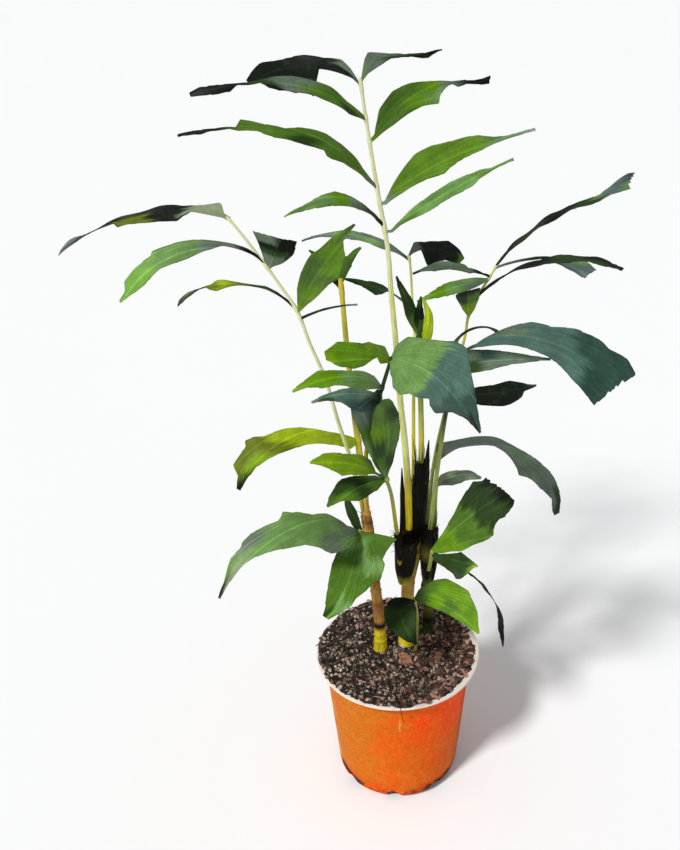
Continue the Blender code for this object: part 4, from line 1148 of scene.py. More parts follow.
def blade_sheet(leaf, root, looks, margins, sizes, rng):
    """One leaflet as an open pleated sheet: its points, faces and point attributes."""
    outline = margins or (leaf.upper, leaf.lower)
    rows = int(np.clip(leaf.length / sizes.cell, 16, 160))
    stations = np.linspace(0, 1, 51)
    widest = sum(margin_widths(margin, stations) for margin in outline).max()
    half = int(np.clip(widest / sizes.cell / 2, 3, 24))
    across = np.arange(-half, half + 1) / half
    end = sum(margin_widths(margin, 1.0) for margin in outline)
    short = ragged_end(rng, across, end, leaf.length) / leaf.length
    s = np.linspace(0, 1, rows + 1)[:, None] * (1 - short)[None, :]
    tooth = sizes.tooth * (0.5 if margins else 1.0)
    upper, lower = ragged_margins(outline, leaf, tooth, s, rng)
    if margins:
        reach = (upper + lower) * (across + 1) / 2 - lower
    else:
        reach = np.where(across > 0, upper, lower) * across
    far = s * leaf.length
    fan = reach / (far + FAN_ROOT) * leaf.length / 2 / VEIN_PITCH
    wave = far / rng.uniform(5.5, 8) + np.where(across > 0, 0.0, 2.1) + rng.uniform(0, 6)
    ripple = RIPPLE * across ** 2 * np.sin(wave)
    pleat = sizes.pleat * np.abs((fan / PLEAT_VEINS) % 2 - 1) * np.clip(far / 14, 0, 1)
    fade = np.clip(far / 20, 0, 1) * np.clip(np.abs(reach) / 4, 0, 1)
    lift = BLADE_FOLD * (np.sqrt(reach ** 2 + 1.5) - 1.2) + ripple * fade + pleat
    _, side, out = blade_frame(leaf, s)
    points = midline(leaf, root, s) + side * (reach * MM)[..., None] + out * (lift * MM)[..., None]
    narrow = np.clip(1.7 - (upper + lower) / 2, 0, 1) * (s < 0.5)
    stout = 1 + 2.2 * narrow + 2.0 * np.exp(-far / 4) + 0.9 * np.exp(-(reach / 1.1) ** 2) * (1 - s)
    facts = np.stack([fan, far / 10, np.broadcast_to(np.abs(across), s.shape)], -1)
    index = np.arange(s.size).reshape(s.shape)
    quads = np.stack([index[:-1, :-1], index[1:, :-1], index[1:, 1:], index[:-1, 1:]], -1).reshape(-1, 4)
    facing = blade_frame(leaf, np.array([0.4]))[2][0]
    if facing[2] - 0.3 * facing[1] < 0:
        quads = quads[:, ::-1]
    tint = blade_tints(leaf, looks, across, s)
    return points.reshape(-1, 3), quads, tint.reshape(-1, 4), facts.reshape(-1, 3), stout.reshape(-1)


# Tubes and profiles

def chain(count, start=0):
    return [(start + i, start + i + 1) for i in range(count - 1)]


def tube_piece(name, chains, mat, sides):
    """Round tubes along chains of points, each given as its points, radii and tints."""
    edges = []
    count = 0
    for points, _, _ in chains:
        edges += chain(len(points), count)
        count += len(points)
    places, radii, tints = (np.concatenate(values) for values in zip(*chains))
    tints = np.concatenate([tints, np.ones((count, 1))], 1)
    mesh = mesh_with(name, places, edges, girth=radii, tint=tints)
    return mended(grown(name, mesh, tube_tree(), mat, sides=sides), 0.002 * MM)


def one_tint(letter, count, shade=1.0):
    return np.tile(np.array(STALK_TINTS[letter]) * shade, (count, 1))


def wall_radius(z):
    return WALL_BOTTOM_RADIUS + (WALL_TOP_RADIUS - WALL_BOTTOM_RADIUS) * z / POT_HEIGHT


# Radius of the ring about which the pot's lower corner bends, and radius of the filling at its level
CORNER_CENTRE = wall_radius(CORNER_RADIUS) - CORNER_RADIUS
SOIL_EDGE = wall_radius(SOIL_LEVEL) - WALL_THICKNESS - SOIL_GAP


def corner(radius, steps, lift=0.0):
    """Profile of the pot's round lower corner from the wall to the bottom, at a radius about its centre."""
    turns = [math.pi / 2 * i / steps for i in range(steps + 1)]
    return [(CORNER_CENTRE + radius * math.cos(turn), CORNER_RADIUS - radius * math.sin(turn) + lift)
            for turn in turns]


def finely(profile, step):
    """A profile with points added so that none of its stretches is longer than a step."""
    out = [profile[0]]
    for (r0, z0), (r1, z1) in zip(profile, profile[1:]):
        count = max(1, math.ceil(math.hypot(r1 - r0, z1 - z0) / step))
        out += [(r0 + (r1 - r0) * i / count, z0 + (z1 - z0) * i / count) for i in range(1, count + 1)]
    return out


def turned(name, profile, mat, **inputs):
    """A closed shell turned from a profile of radii and heights."""
    mesh = mesh_with(name + "_profile", [(radius, 0.0, z) for radius, z in profile], chain(len(profile)))
    return mended(grown(name + "_turned", mesh, lathe_tree(), mat, **inputs))


# Finishes

@cache
def leaf_finish():
    """Living blades: veins that fan out from the root, a pale rib, blotches of painted sheen and a duller
    underside.
    """
    mat, r = finish_of("leaf_green", LEAF_TINTS["m"])
    place = r.place()
    tint = r.attribute("tint", "Color")
    veined = tint.also("Alpha")
    fan, far, edge = r.axes(r.attribute("fan", "Vector"))
    under = r.attribute("under")
    coarse = r.noise(place, 60.0, 4.0, 0.6)
    fine = r.noise(place, 520.0, 4.0, 0.65)
    sheen_and_rim_blotch = r.noise(place + (3.0, 1.0, 2.0), 150.0, 5.0, 0.7)
    vein = fan + (coarse - 0.5) * 0.25 + 0.5
    chance = r.node("ShaderNodeTexWhiteNoise", {"noise_dimensions": "1D"}, {"W": vein.floor()})
    main = r.ease(abs(vein % 1.0 - 0.5), 0.03, 0.15, 1.0, 0.0)
    main = main * r.ease(chance, 0.15, 0.85, 0.15, 1.0) * r.ease(coarse, 0.36, 0.56, 0.25, 1.0)
    small = r.ease(abs((fan * 5 + coarse + 0.5) % 1.0 - 0.5), 0.05, 0.32, 1.0, 0.0)
    streak = r.noise(r.vector(fan * 1.3, far * 0.16, chance), 1.0, 4.0, 0.65)
    rib = r.ease(abs(fan), 0.10, 0.42, 1.0, 0.0) * r.ease(far, 0.0, 9.0, 1.0, 0.25)
    colour = r.varied(tint, coarse, (0.50, 0.54, 0.48), (1.52, 1.46, 1.54))
    colour = r.varied(colour, fine, (0.70, 0.72, 0.70), (1.30, 1.28, 1.30))
    colour = r.varied(colour, streak, (0.50, 0.52, 0.50), (1.55, 1.52, 1.55))
    # Lighter grey blotches are painted sheen; the same noise also varies the brown of the margins below
    colour = r.mix(r.ease(sheen_and_rim_blotch, 0.52, 0.74) * 0.45, colour, r.plus(colour, (0.045, 0.050, 0.040)))
    pale = r.plus(r.times(colour, (2.0, 1.9, 2.4)), (0.012, 0.018, 0.003))
    colour = r.mix((main * veined * 0.75 + rib * 0.45).smaller(0.9), colour, pale)
    colour = r.mix(small * 0.35, colour, r.times(colour, (0.66, 0.66, 0.62)))
    rim = r.ease(edge, 0.90, 1.0) * (0.25 + 0.55 * r.ease(sheen_and_rim_blotch, 0.45, 0.65))
    colour = r.mix(rim, colour, r.times(colour, (0.70, 0.52, 0.35)))
    dull = r.plus(r.times(colour, (1.0, 0.96, 1.5)), (0.012, 0.015, 0.010))
    colour = r.mix(under * 0.8, colour, dull)
    rough = 0.40 + (coarse - 0.5) * 0.30 + small * 0.05 + under * 0.18
    relief = main * -0.55 + small * -0.22 + fine * 0.30 + coarse * 0.5
    surface(r, colour, rough, relief, 0.35 * MM, 0.7, {"Specular IOR Level": 0.14, "IOR": 1.42})
    return mat


def tube_place(recipe):
    """Coordinates that follow a tube: round it along X and Y, and lengthwise along Z."""
    around = recipe.attribute("around", "Vector") * (STREAK_RADIUS, STREAK_RADIUS, 0.0)
    lengthwise = recipe.vector(0.0, 0.0, recipe.attribute("lengthwise"))
    return around + lengthwise + recipe.place() * (0.15, 0.15, 0.15)


@cache
def stalk_finish():
    """Canes and petioles: streaks lengthwise, with brown scurf on them."""
    mat, r = finish_of("stalk_green", STALK_TINTS["P"])
    followed = tube_place(r)
    streak = r.noise(r.stretched(followed, (1.0, 1.0, 0.05)), 900.0, 4.0, 0.7)
    patch = r.noise(r.stretched(followed, (1.0, 1.0, 0.45)), 110.0, 4.0, 0.65)
    speck = r.noise(r.place(), 1500.0, 3.0, 0.7)
    colour = r.varied(r.attribute("tint", "Color"), streak, (0.34, 0.30, 0.22), (1.62, 1.66, 1.75))
    colour = r.varied(colour, patch, (0.62, 0.58, 0.50), (1.38, 1.40, 1.45))
    scurf = r.ease(streak, 0.47, 0.40) * r.ease(patch, 0.46, 0.58)
    brown = r.times(colour, (0.42, 0.30, 0.22))
    colour = r.painted(colour, (scurf * 0.85, brown), (r.ease(speck, 0.62, 0.70) * 0.35, brown))
    relief = streak * 0.7 + speck * 0.3
    surface(r, colour, 0.42 + patch * 0.25, relief, 0.30 * MM, 0.8, {"Specular IOR Level": 0.2})
    return mat


@cache
def husk_finish():
    """Dry leaf sheaths: long fibres, with near-black painted shade in patches that stand for hollows."""
    mat, r = finish_of("sheath_husk", STALK_TINTS["B"])
    thread = r.noise(r.stretched(tube_place(r), (1.0, 1.0, 0.04)), 1300.0, 4.0, 0.75)
    patch = r.noise(r.stretched(r.place(), (1.0, 1.0, 0.5)), 160.0, 4.0, 0.65)
    colour = r.varied(r.attribute("tint", "Color"), thread, (0.30, 0.26, 0.22), (1.75, 1.70, 1.60))
    straw = r.ease(patch, 0.58, 0.70) * r.ease(thread, 0.46, 0.60) * 0.6
    # near-black painted shade in the hollows
    hollow_shade = r.ease(patch, 0.47, 0.36) * 0.6
    colour = r.painted(colour, (straw, (0.36, 0.22, 0.045)), (hollow_shade, (0.008, 0.006, 0.003)))
    surface(r, colour, 0.62 + thread * 0.2, thread, 0.6 * MM, 1.0, {"Specular IOR Level": 0.12})
    return mat


def pot_noises(r, place):
    return PotNoise(
        wide=r.noise(place, 15.0, 4.0, 0.6),
        mottle=r.noise(place, 75.0, 5.0, 0.68),
        grit=r.noise(place, 480.0, 4.0, 0.7),
        drag=r.noise(r.stretched(place, (1.0, 1.0, 0.16)), 210.0, 4.0, 0.65),
        stain=r.noise(place + (0.3, 0.1, 0.2), 150.0, 6.0, 0.75),
        blot=r.noise(place + (0.5, 0.2, 0.7), 42.0, 6.0, 0.68))


def wall_colour(r, pot, noise, x, z, low):
    """Orange of the wall: faded at the left and deeper at the right and low down, partly painted light and
    shade and partly the plastic's own colour, then blotched and scuffed.
    """
    left = r.ease(x, 30 * MM, -45 * MM)
    high = r.ease(z, 70 * MM, 128 * MM)
    # The wall fades towards the left partly as painted light and partly as the plastic's own bleaching
    fade = noise.wide * 0.45 + noise.mottle * 0.35 + left * 0.30 - low * 0.20 - high * (1 - left) * 0.2
    colour = r.mix(r.ease(fade, 0.46, 0.70), tuple(pot.wall), tuple(pot.faded))
    # Deeper red at the right, at the top right and low down: partly painted shade, partly the plastic's own
    # colour
    deep = (r.ease(noise.mottle * 0.4 + noise.wide * 0.6, 0.58, 0.44) * (1 - left) * 0.55
            + low * r.ease(noise.mottle, 0.40, 0.60) * 0.9 + high * r.ease(x, 0.0, 30 * MM) * 0.65)
    scuff = r.ease(noise.drag, 0.58, 0.72) * r.ease(noise.mottle, 0.45, 0.62)
    worn = r.ease(noise.mottle, 0.50, 0.38) * r.ease(noise.wide, 0.50, 0.62)
    colour = r.painted(
        colour,
        (deep.smaller(1.0), tuple(pot.deep)),
        (r.ease(noise.blot, 0.52, 0.64) * 0.30, (0.82, 0.090, 0.001)),
        (r.ease(noise.blot, 0.48, 0.36) * 0.35, (0.68, 0.200, 0.018)),
        (scuff * 0.40, (0.78, 0.28, 0.04)),
        (worn * 0.30, (0.60, 0.22, 0.012)))
    colour = r.varied(colour, noise.stain, (0.70, 0.62, 0.60), (1.26, 1.36, 1.40))
    smudge = r.ease(noise.stain, 0.60, 0.70) * r.ease(noise.mottle, 0.42, 0.56)
    return r.painted(
        colour,
        (smudge * 0.45, (0.40, 0.050, 0.003)),
        (r.ease(noise.grit, 0.54, 0.64) * 0.50, (0.42, 0.040, 0.001)),
        (r.ease(noise.grit, 0.44, 0.34) * 0.40, (0.84, 0.30, 0.035)))


def painted_flank_light(r, colour, noise, aside):
    """Painted shade in brown at the far right and painted light in olive at the far left, where the wall
    turns away from the front.
    """
    # painted shade at the right edge and painted light at the left edge
    right = r.ease(aside, 0.80, 0.97) * r.ease(noise.mottle * 0.5 + noise.drag * 0.5, 0.30, 0.55)
    left = r.ease(aside, -0.86, -0.97) * r.ease(noise.mottle, 0.46, 0.56)
    return r.painted(colour, (right * 0.50, (0.14, 0.032, 0.004)), (left * 0.6, (0.62, 0.36, 0.09)))


def foot_dirt(r, noise, x, z, low, front):
    """Earth on the pot's foot: two patches, a thin film, and a band except in the middle of the front."""
    across = x + 48 * MM
    left = (r.ease(abs(across), 14 * MM, 7 * MM)
            * r.ease(abs(z - 11 * MM + across * 0.45), 9 * MM, 3 * MM))
    right = r.ease(abs(x - 42 * MM), 17 * MM, 9 * MM) * r.ease(z, 19 * MM, 8 * MM)
    band = r.ease(z, 20 * MM, 3 * MM) * (1 - front * r.ease(abs(x + 6 * MM), 30 * MM, 16 * MM))
    grime = r.ease(noise.mottle * 0.4 + noise.stain * 0.6, 0.40, 0.48)
    return ((left * 1.2 + right * 1.4) * grime + low * 0.3 * r.ease(noise.stain, 0.46, 0.56)
            + band * r.ease(noise.stain, 0.50, 0.58) * 0.8)


def round_mark(r, across, up, outer, inner):
    """Mask of a round mark, from the distances to its middle."""
    return r.ease((across ** 2.0 + up ** 2.0) ** 0.5, outer, inner)


def marked(r, colour, noise, x, z, front, dirt):
    """Marks on the front: painted shadow with light specks at the foot, a drip, a dark spot, a yellow fleck,
    and the earth.
    """
    toe_shadow_and_specks = r.ease(z, 20 * MM, 7 * MM) * r.ease(abs(x - 8 * MM), 38 * MM, 20 * MM) * front
    wobble = (noise.mottle - 0.5) * 5 * MM
    drip = r.ease(abs(x - 2 * MM + wobble), 1.6 * MM, 0.3 * MM) * r.ease(abs(z - 116 * MM), 13 * MM, 4 * MM)
    spot = round_mark(r, x - 13 * MM + wobble, z - 128 * MM, 3.2 * MM, 0.8 * MM)
    fleck = round_mark(r, x - 38 * MM, z - 7 * MM + wobble, 2.8 * MM, 1.4 * MM)
    return r.painted(
        colour,
        # painted shadow on the front of the foot, then light specks on it
        (toe_shadow_and_specks * r.ease(noise.stain, 0.42, 0.52) * 0.85, (0.42, 0.018, 0.003)),
        (toe_shadow_and_specks * r.ease(noise.mottle * 0.4 + noise.grit * 0.6, 0.53, 0.60) * 0.8, (0.90, 0.44, 0.10)),
        (drip * front * 0.45, (0.90, 0.42, 0.13)),
        (spot * front * 0.5, (0.30, 0.05, 0.004)),
        (dirt.smaller(0.93), (0.045, 0.018, 0.008)),
        (fleck * front, (0.80, 0.60, 0.28)))


def rim_colour(r, pot, noise):
    """Cream of the flange, with brown stains and specks."""
    colour = r.mix(r.ease(noise.mottle, 0.50, 0.68) * 0.5, tuple(pot.rim), (0.52, 0.40, 0.33))
    return r.mix(r.ease(noise.grit, 0.60, 0.72) * 0.4, colour, (0.26, 0.16, 0.10))


def pot_finish(pot):
    """Thin moulded plastic: an orange wall with painted light and shade on its sides and foot, earth on its
    foot, a cream flange and an earthy inside.
    """
    mat, r = finish_of("orange_nursery_plastic", pot.wall)
    place = r.place()
    x, y, z = r.axes(place)
    noise = pot_noises(r, place)
    reach = (x * x + y * y) ** 0.5
    low = r.ease(z, 34 * MM, 2 * MM)
    front = r.ease(y, 4 * MM, -4 * MM)
    dirt = foot_dirt(r, noise, x, z, low, front)
    colour = wall_colour(r, pot, noise, x, z, low)
    colour = painted_flank_light(r, colour, noise, x / reach.larger(MM))
    colour = marked(r, colour, noise, x, z, front, dirt)
    under = POT_HEIGHT - RIM_THICKNESS
    flange = r.ease(z, under - 1.2 * MM, under - 0.4 * MM)
    within = WALL_BOTTOM_RADIUS - WALL_THICKNESS / 2
    slope = (WALL_TOP_RADIUS - WALL_BOTTOM_RADIUS) / POT_HEIGHT
    inner = r.ease(z, 30 * MM, 120 * MM) * r.ease(reach - slope * z, within + 0.2 * MM, within - 0.3 * MM)
    colour = r.painted(colour, (flange, rim_colour(r, pot, noise)), (inner * 0.8, (0.060, 0.030, 0.016)))
    rough = 0.50 + noise.mottle * 0.22 + dirt.smaller(1.0) * 0.2
    relief = noise.mottle * 0.4 + noise.grit * 0.25 + noise.drag * 0.35
    surface(r, colour, rough, relief, 0.35 * MM, 0.6, {"Specular IOR Level": 0.06})
    return mat


def soil_finish(soil):
    """Moist potting mix: near-black painted shade in its hollows, pale grit, and reddish bark dust at the
    right.
    """
    mat, r = finish_of("potting_mix", soil.earth)
    place = r.place()
    x, _, _ = r.axes(place)
    lump = r.noise(place, 180.0, 5.0, 0.7)
    grit = r.noise(place, 900.0, 4.0, 0.75)
    dust = r.ease(x, 0.0, 60 * MM) * r.ease(lump, 0.46, 0.60) * 0.7
    # near black where the lump noise is low: painted shade in the hollows
    colour = r.painted(
        r.mix(r.ease(lump, 0.42, 0.66), (0.004, 0.003, 0.002), tuple(soil.earth)),
        (r.ease(grit, 0.52, 0.68) * 0.6, (0.20, 0.130, 0.095)),
        (dust, (0.22, 0.100, 0.070)))
    surface(r, colour, 0.92, lump + grit * 0.5, 1.2 * MM, 1.0, {"Specular IOR Level": 0.2})
    return mat


def crumb_finish(name, dark, light, worn, rough=0.9):
    """Loose grains: each its own shade, with speckles of a third colour."""
    mat, r = finish_of(name, light)
    place = r.place()
    grit = r.noise(place, 1100.0, 4.0, 0.7)
    grain = r.noise(r.stretched(place, (1.0, 0.25, 1.0)), 1600.0, 3.0, 0.7)
    colour = r.mix(r.attribute("shade") ** 2.3, dark, light)
    colour = r.varied(colour, grain, (0.55, 0.55, 0.55), (1.45, 1.42, 1.40))
    colour = r.mix(r.ease(grit, 0.55, 0.68) * 0.7, colour, worn)
    surface(r, colour, rough, grit * 0.5 + grain * 0.5, 0.5 * MM, 0.8, {"Specular IOR Level": 0.25})
    return mat


def bark_finish(soil):
    """Pine bark: layers along the chip, in patches of the bark's own colour."""
    mat, r = finish_of("pine_bark", soil.bark)
    place = r.place()
    layer = r.noise(r.stretched(place, (0.35, 1.0, 2.2)), 420.0, 5.0, 0.7)
    patch = r.noise(place, 130.0, 4.0, 0.6)
    colour = r.mix(r.ease(layer, 0.35, 0.65), (0.10, 0.040, 0.024), (0.56, 0.27, 0.17))
    colour = r.mix(r.ease(patch, 0.50, 0.66) * 0.6, colour, tuple(soil.bark))
    surface(r, colour, 0.85, layer + patch * 0.3, 0.9 * MM, 1.0, {"Specular IOR Level": 0.25})
    return mat


def floor_finish(stage):
    mat, r = finish_of("studio_floor", stage.floor)
    dim = tuple(c * 0.985 for c in stage.floor)
    colour = r.mix(r.noise(r.place(), 3.0, 2.0), dim, tuple(stage.floor))
    surface(r, colour, 0.85, fixed={"Specular IOR Level": 0.1})
    return mat


# Pot and soil

def pot_profile():
    """The pot's section: down its outside to the middle of the bottom, and up its inside."""
    top = POT_HEIGHT
    under = POT_HEIGHT - RIM_THICKNESS
    wall = wall_radius(under)
    outside = [(WALL_TOP_RADIUS - 1.0 * MM, top - 0.2 * MM), (WALL_TOP_RADIUS - 0.4 * MM, top),
               (RIM_RADIUS - 1.1 * MM, top), (RIM_RADIUS - 0.4 * MM, top - 0.3 * MM),
               (RIM_RADIUS, top - 1.0 * MM), (RIM_RADIUS, under + 0.4 * MM), (RIM_RADIUS - 0.4 * MM, under),
               (wall + 2 * MM, under), (wall + 0.6 * MM, under - 0.6 * MM), (wall, under - 2 * MM)]
    outside += [*corner(CORNER_RADIUS, 12), (0.0, 0.0)]
    inside = [(0.0, BOTTOM_THICKNESS)]
    inside += reversed(corner(CORNER_RADIUS - WALL_THICKNESS, 8, BOTTOM_THICKNESS - WALL_THICKNESS))
    inside += [(wall_radius(z) - WALL_THICKNESS, z) for z in (WALL_MIDDLE, under - 2 * MM)]
    return finely(outside, OUTSIDE_STEP) + finely(inside, INSIDE_STEP) + outside[:1]


def soil_profile():
    """The filling's section: its heaped surface, its spill over the flange, its side and its bottom."""
    heap = [(radius * MM, z * MM) for radius, z in SOIL_HEAP]
    spill = [(SOIL_EDGE, FLANGE_TOP + 0.5 * MM), (SOIL_EDGE + 3 * MM, FLANGE_TOP + 1.2 * MM),
             (SOIL_EDGE + 6 * MM, FLANGE_TOP + 1.2 * MM),
             (SOIL_EDGE + SPILL_WIDTH - 0.8 * MM, FLANGE_TOP + 0.7 * MM),
             (SOIL_EDGE + SPILL_WIDTH, FLANGE_TOP),
             (SOIL_EDGE + 2.5 * MM, FLANGE_TOP), (SOIL_EDGE, FLANGE_TOP - 0.6 * MM)]
    side = [(SOIL_EDGE, SOIL_LEVEL - 1.5 * MM),
            (wall_radius(WALL_MIDDLE) - WALL_THICKNESS - SOIL_GAP, WALL_MIDDLE)]
    side += corner(CORNER_RADIUS - WALL_THICKNESS - SOIL_GAP, 6, BOTTOM_THICKNESS - WALL_THICKNESS)
    return finely(heap + spill, SOIL_STEP) + side + [(0.0, side[-1][1])]


def strewn_kinds(sizes):
    """What lies strewn on the mix: name, slot, finish, and how it is scattered."""
    return (
        ("soil_crumbs", "potting_soil",
         crumb_finish("dark_crumbs", (0.004, 0.003, 0.002), (0.50, 0.345, 0.270), (0.66, 0.54, 0.46)),
         dict(density=60000.0, length=6.4 * MM, smallest=0.2, flatness=0.8, slimness=0.85, seed=3)),
        ("perlite_grains", "potting_soil",
         crumb_finish("perlite", (0.30, 0.24, 0.18), tuple(sizes.perlite), (0.36, 0.28, 0.22), 0.8),
         dict(density=19000.0, length=sizes.grain, smallest=0.25, flatness=0.8, slimness=0.95,
              right_bias=-0.25, clumping=0.6, seed=11, sink=-0.25 * MM, faces=2)),
        ("bark_bits", "bark",
         crumb_finish("bark_bits", (0.060, 0.024, 0.016), (0.44, 0.215, 0.165), (0.06, 0.03, 0.02)),
         dict(density=9000.0, length=9 * MM, smallest=0.3, flatness=0.4, slimness=0.6,
              right_bias=0.85, seed=23, sink=-0.3 * MM, faces=2)),
        ("straw_bits", "bark",
         crumb_finish("straw", (0.10, 0.065, 0.035), (0.62, 0.48, 0.28), (0.10, 0.06, 0.03)),
         dict(density=6000.0, length=11 * MM, smallest=0.3, flatness=0.12, slimness=0.13, seed=31,
              sink=-0.9 * MM, faces=2)))


def root_thread(route, thickness):
    """A dry root that thins towards its end."""
    points, places = evenly(smooth_route(route), THREAD_STEP)
    return points, thickness / 2 * (1 - 0.6 * places / places[-1]), one_tint("K", len(points))


def chip_mesh(name, chip, rng):
    """A chip of bark: an arched block, torn at one end and layered on top, laid on the mix."""
    length = chip.length * MM
    width = chip.width * MM
    thickness = chip.thickness * MM
    mesh = bpy.data.meshes.new(name)
    cage = bmesh.new()
    bmesh.ops.create_cube(cage, size=1.0)
    bmesh.ops.subdivide_edges(cage, edges=cage.edges, cuts=BARK_CUTS, use_grid_fill=True)
    phase = rng.uniform(0, 6, 6)
    for vert in cage.verts:
        u, v, w = vert.co * 2
        ragged = 1 - 0.10 * (1 + math.sin(9 * v + phase[0])) * max(0.0, u) ** 2
        rough = 0.09 * math.sin(7 * u + phase[1]) + 0.06 * math.sin(15 * u + 4 * v + phase[2])
        layers = 0.14 * math.sin(5 * v + 2 * u + phase[3]) + 0.10 * math.sin(13 * v - 3 * u + phase[4])
        vert.co.x *= length * ragged
        vert.co.y *= width * (1 - 0.35 * max(0.0, u)) * (1 - 0.12 * w * w)
        vert.co.y += rough * width * 0.3 * v * abs(v)
        vert.co.z = vert.co.z * thickness * (1 - 0.25 * u * u) + 0.12 * width * (1 - u * u)
        vert.co.z += max(0.0, w) * layers * thickness * 0.8
    cage.to_mesh(mesh)
    cage.free()
    place = np.array([v.co for v in mesh.vertices])
    turn = math.radians(chip.turn)
    x, y = (c * MM for c in chip.centre)
    laid = np.stack([place[:, 0] * math.cos(turn) - place[:, 1] * math.sin(turn) + x,
                     place[:, 0] * math.sin(turn) + place[:, 1] * math.cos(turn) + y,
                     place[:, 2] + SOIL_LEVEL + thickness / 2 - BARK_SUNK], 1)
    mesh.vertices.foreach_set("co", laid.astype(np.float32).ravel())
    return mesh


# Canes, sheaths and fibres

def level(turn):
    """Level direction at an angle about the Z axis."""
    return np.array([math.cos(turn), math.sin(turn), 0.0])


def cane_radii(stem, points, places, ring):
    """Radii along a cane: tapered, swollen at the foot, with a ridge and a groove at each leaf scar."""
    share = places / places[-1]
    radii = (stem.base_radius + (stem.top_radius - stem.base_radius) * share) * MM
    above = points[:, 2] - SOIL_LEVEL
    for scar in np.arange(FIRST_SCAR, above.max(), SCAR_PITCH):
        radii += ring * np.exp(-((above - scar) / RIDGE_WIDTH) ** 2)
        radii -= SCAR_GROOVE * np.exp(-((above - scar - GROOVE_ABOVE) / GROOVE_WIDTH) ** 2)
    return radii + FOOT_SWELL * np.exp(-np.clip(above, 0, None) / FOOT_HEIGHT)


def cane_tints(name, heights):
    """Colours of a cane at heights above the floor."""
    known = np.array([height for height, _ in STEM_LOOKS[name]]) * MM
    return at_places(heights, known, np.array([STALK_TINTS[letter] for _, letter in STEM_LOOKS[name]]))


def dead_sheath(route, widths, letters, count, fibre, rng):
    """A dead sheath, and the fibres that stand in a ring at its top."""
    sleeve, far = evenly(smooth_route(route), CANE_STEP)
    share = far / far[-1]
    girth = np.interp(share, np.linspace(0, 1, len(widths)), widths) * MM
    fibres = []
    for turn in rng.uniform(0, math.tau, count):
        rise = np.linspace(0, rng.uniform(4, 15) * MM, SHORT_FIBRE_POINTS)[:, None]
        lean = rng.uniform(-0.35, 0.55)
        path = sleeve[-RING_BELOW] + level(turn) * (girth[-RING_BELOW] * 0.94 + lean * rise) + UP * rise
        thin = fibre * np.linspace(2.2, 0.4, SHORT_FIBRE_POINTS)
        fibres.append((path, thin, one_tint("K", SHORT_FIBRE_POINTS)))
    return (sleeve, girth, tint_along(letters, share, STALK_TINTS)), fibres


def sheath_sleeve(route, foot):
    """Points along a sheath: out of the cane, lower down for a low petiole, and up the petiole."""
    low = route[0][2] < foot[2] + 8 * MM
    start = np.array([foot[0], foot[1], route[0][2] - 14 * MM]) if low else foot
    lead = start + (route[0] - start) * np.linspace(0, 1, SHEATH_LEAD + 1)[:, None] ** 0.9
    return np.vstack([lead[:-1], route])


def sheath_girth(petiole, old, share, rng):
    """Radii along a sheath that closes on its petiole; an old one is swollen half way up."""
    width = petiole + SHEATH_WALL
    girth = width + (0.6 - 0.9 * share) * MM + 0.2 * MM * np.sin(share * 40 + rng.uniform(0, 6))
    if old:
        girth += OLD_SHEATH_SWELL * np.sin(np.pi * np.clip(share * 1.15 - 0.15, 0, 1)) ** 0.8
    girth[-3:] = np.array([width - 0.5 * MM, width - 0.9 * MM, petiole])
    return girth


def long_fibres(whole, sleeve, girth, fibre, rng):
    """Loose fibres that run up along a petiole from its old sheath."""
    fibres = []
    for _ in range(LONG_FIBRES):
        where = rng.integers(len(sleeve) // 3, len(sleeve) - 4)
        away = level(rng.uniform(0, math.tau))
        rise = int(rng.uniform(10, 42) * MM / CANE_STEP)
        line = whole[min(len(whole) - 2, max(0, where - SHEATH_LEAD)):][:rise:4]
        t = np.linspace(0, 1, len(line))
        out = girth[where] * 0.9 + rng.uniform(-0.5, 5.0) * MM * t ** 1.5
        tints = one_tint("K", len(line), rng.choice([0.5, 1.0, 2.0]))
        fibres.append((line + away * out[:, None], fibre * (1.1 - 0.8 * t), tints))
    return fibres


def short_fibres(sleeve, girth, fibre, rng, count, longest, letter):
    """Short fibres that stand off the upper part of a sheath and droop."""
    fibres = []
    t = np.linspace(0, 1, SHORT_FIBRE_POINTS)[:, None]
    for _ in range(count):
        away = level(rng.uniform(0, math.tau))
        where = len(sleeve) - 1 - int(len(sleeve) * 0.55 * rng.random() ** 1.6)
        length = rng.uniform(3, longest) * MM
        ahead = away * rng.uniform(0.1, 0.7) + UP * rng.uniform(0.5, 1.2)
        path = sleeve[where] + away * girth[where] * 0.8 + ahead * t * length
        path += (away * 0.3 - UP * rng.uniform(0, 0.6)) * length * t ** 2
        tints = one_tint(letter, SHORT_FIBRE_POINTS, rng.choice([0.5, 1.0, 2.2]))
        fibres.append((path, fibre * (1.0 - 0.75 * t[:, 0]), tints))
    return fibres


def sheaths_and_fibres(name, fibre, rng):
    """Every sheath and loose fibre on a cane."""
    husks = []
    fibres = []
    for dead in DEAD_SHEATHS.get(name, ()):
        husk, broom = dead_sheath(*dead, fibre, rng)
        husks.append(husk)
        fibres += broom
    foot = smooth_route(STEMS[name].route, 2)[-2]
    for key, frond in FRONDS.items():
        if frond.stem != name:
            continue
        whole, far = evenly(smooth_route(frond.route), CANE_STEP)
        sleeve = sheath_sleeve(whole[far < LONG_SHEATHS.get(key, SHEATH_LENGTH)], foot)
        share = np.linspace(0, 1, len(sleeve))
        girth = sheath_girth(frond.base_radius * MM, key in LONG_SHEATHS, share, rng)
        husks.append((sleeve, girth, tint_along(SHEATH_LOOKS[name], share, STALK_TINTS)))
        if key in LONG_SHEATHS:
            fibres += long_fibres(whole, sleeve, girth, fibre, rng)
        fibres += short_fibres(sleeve, girth, fibre, rng, *SHORT_FIBRES[name])
    return husks, fibres


# Fronds

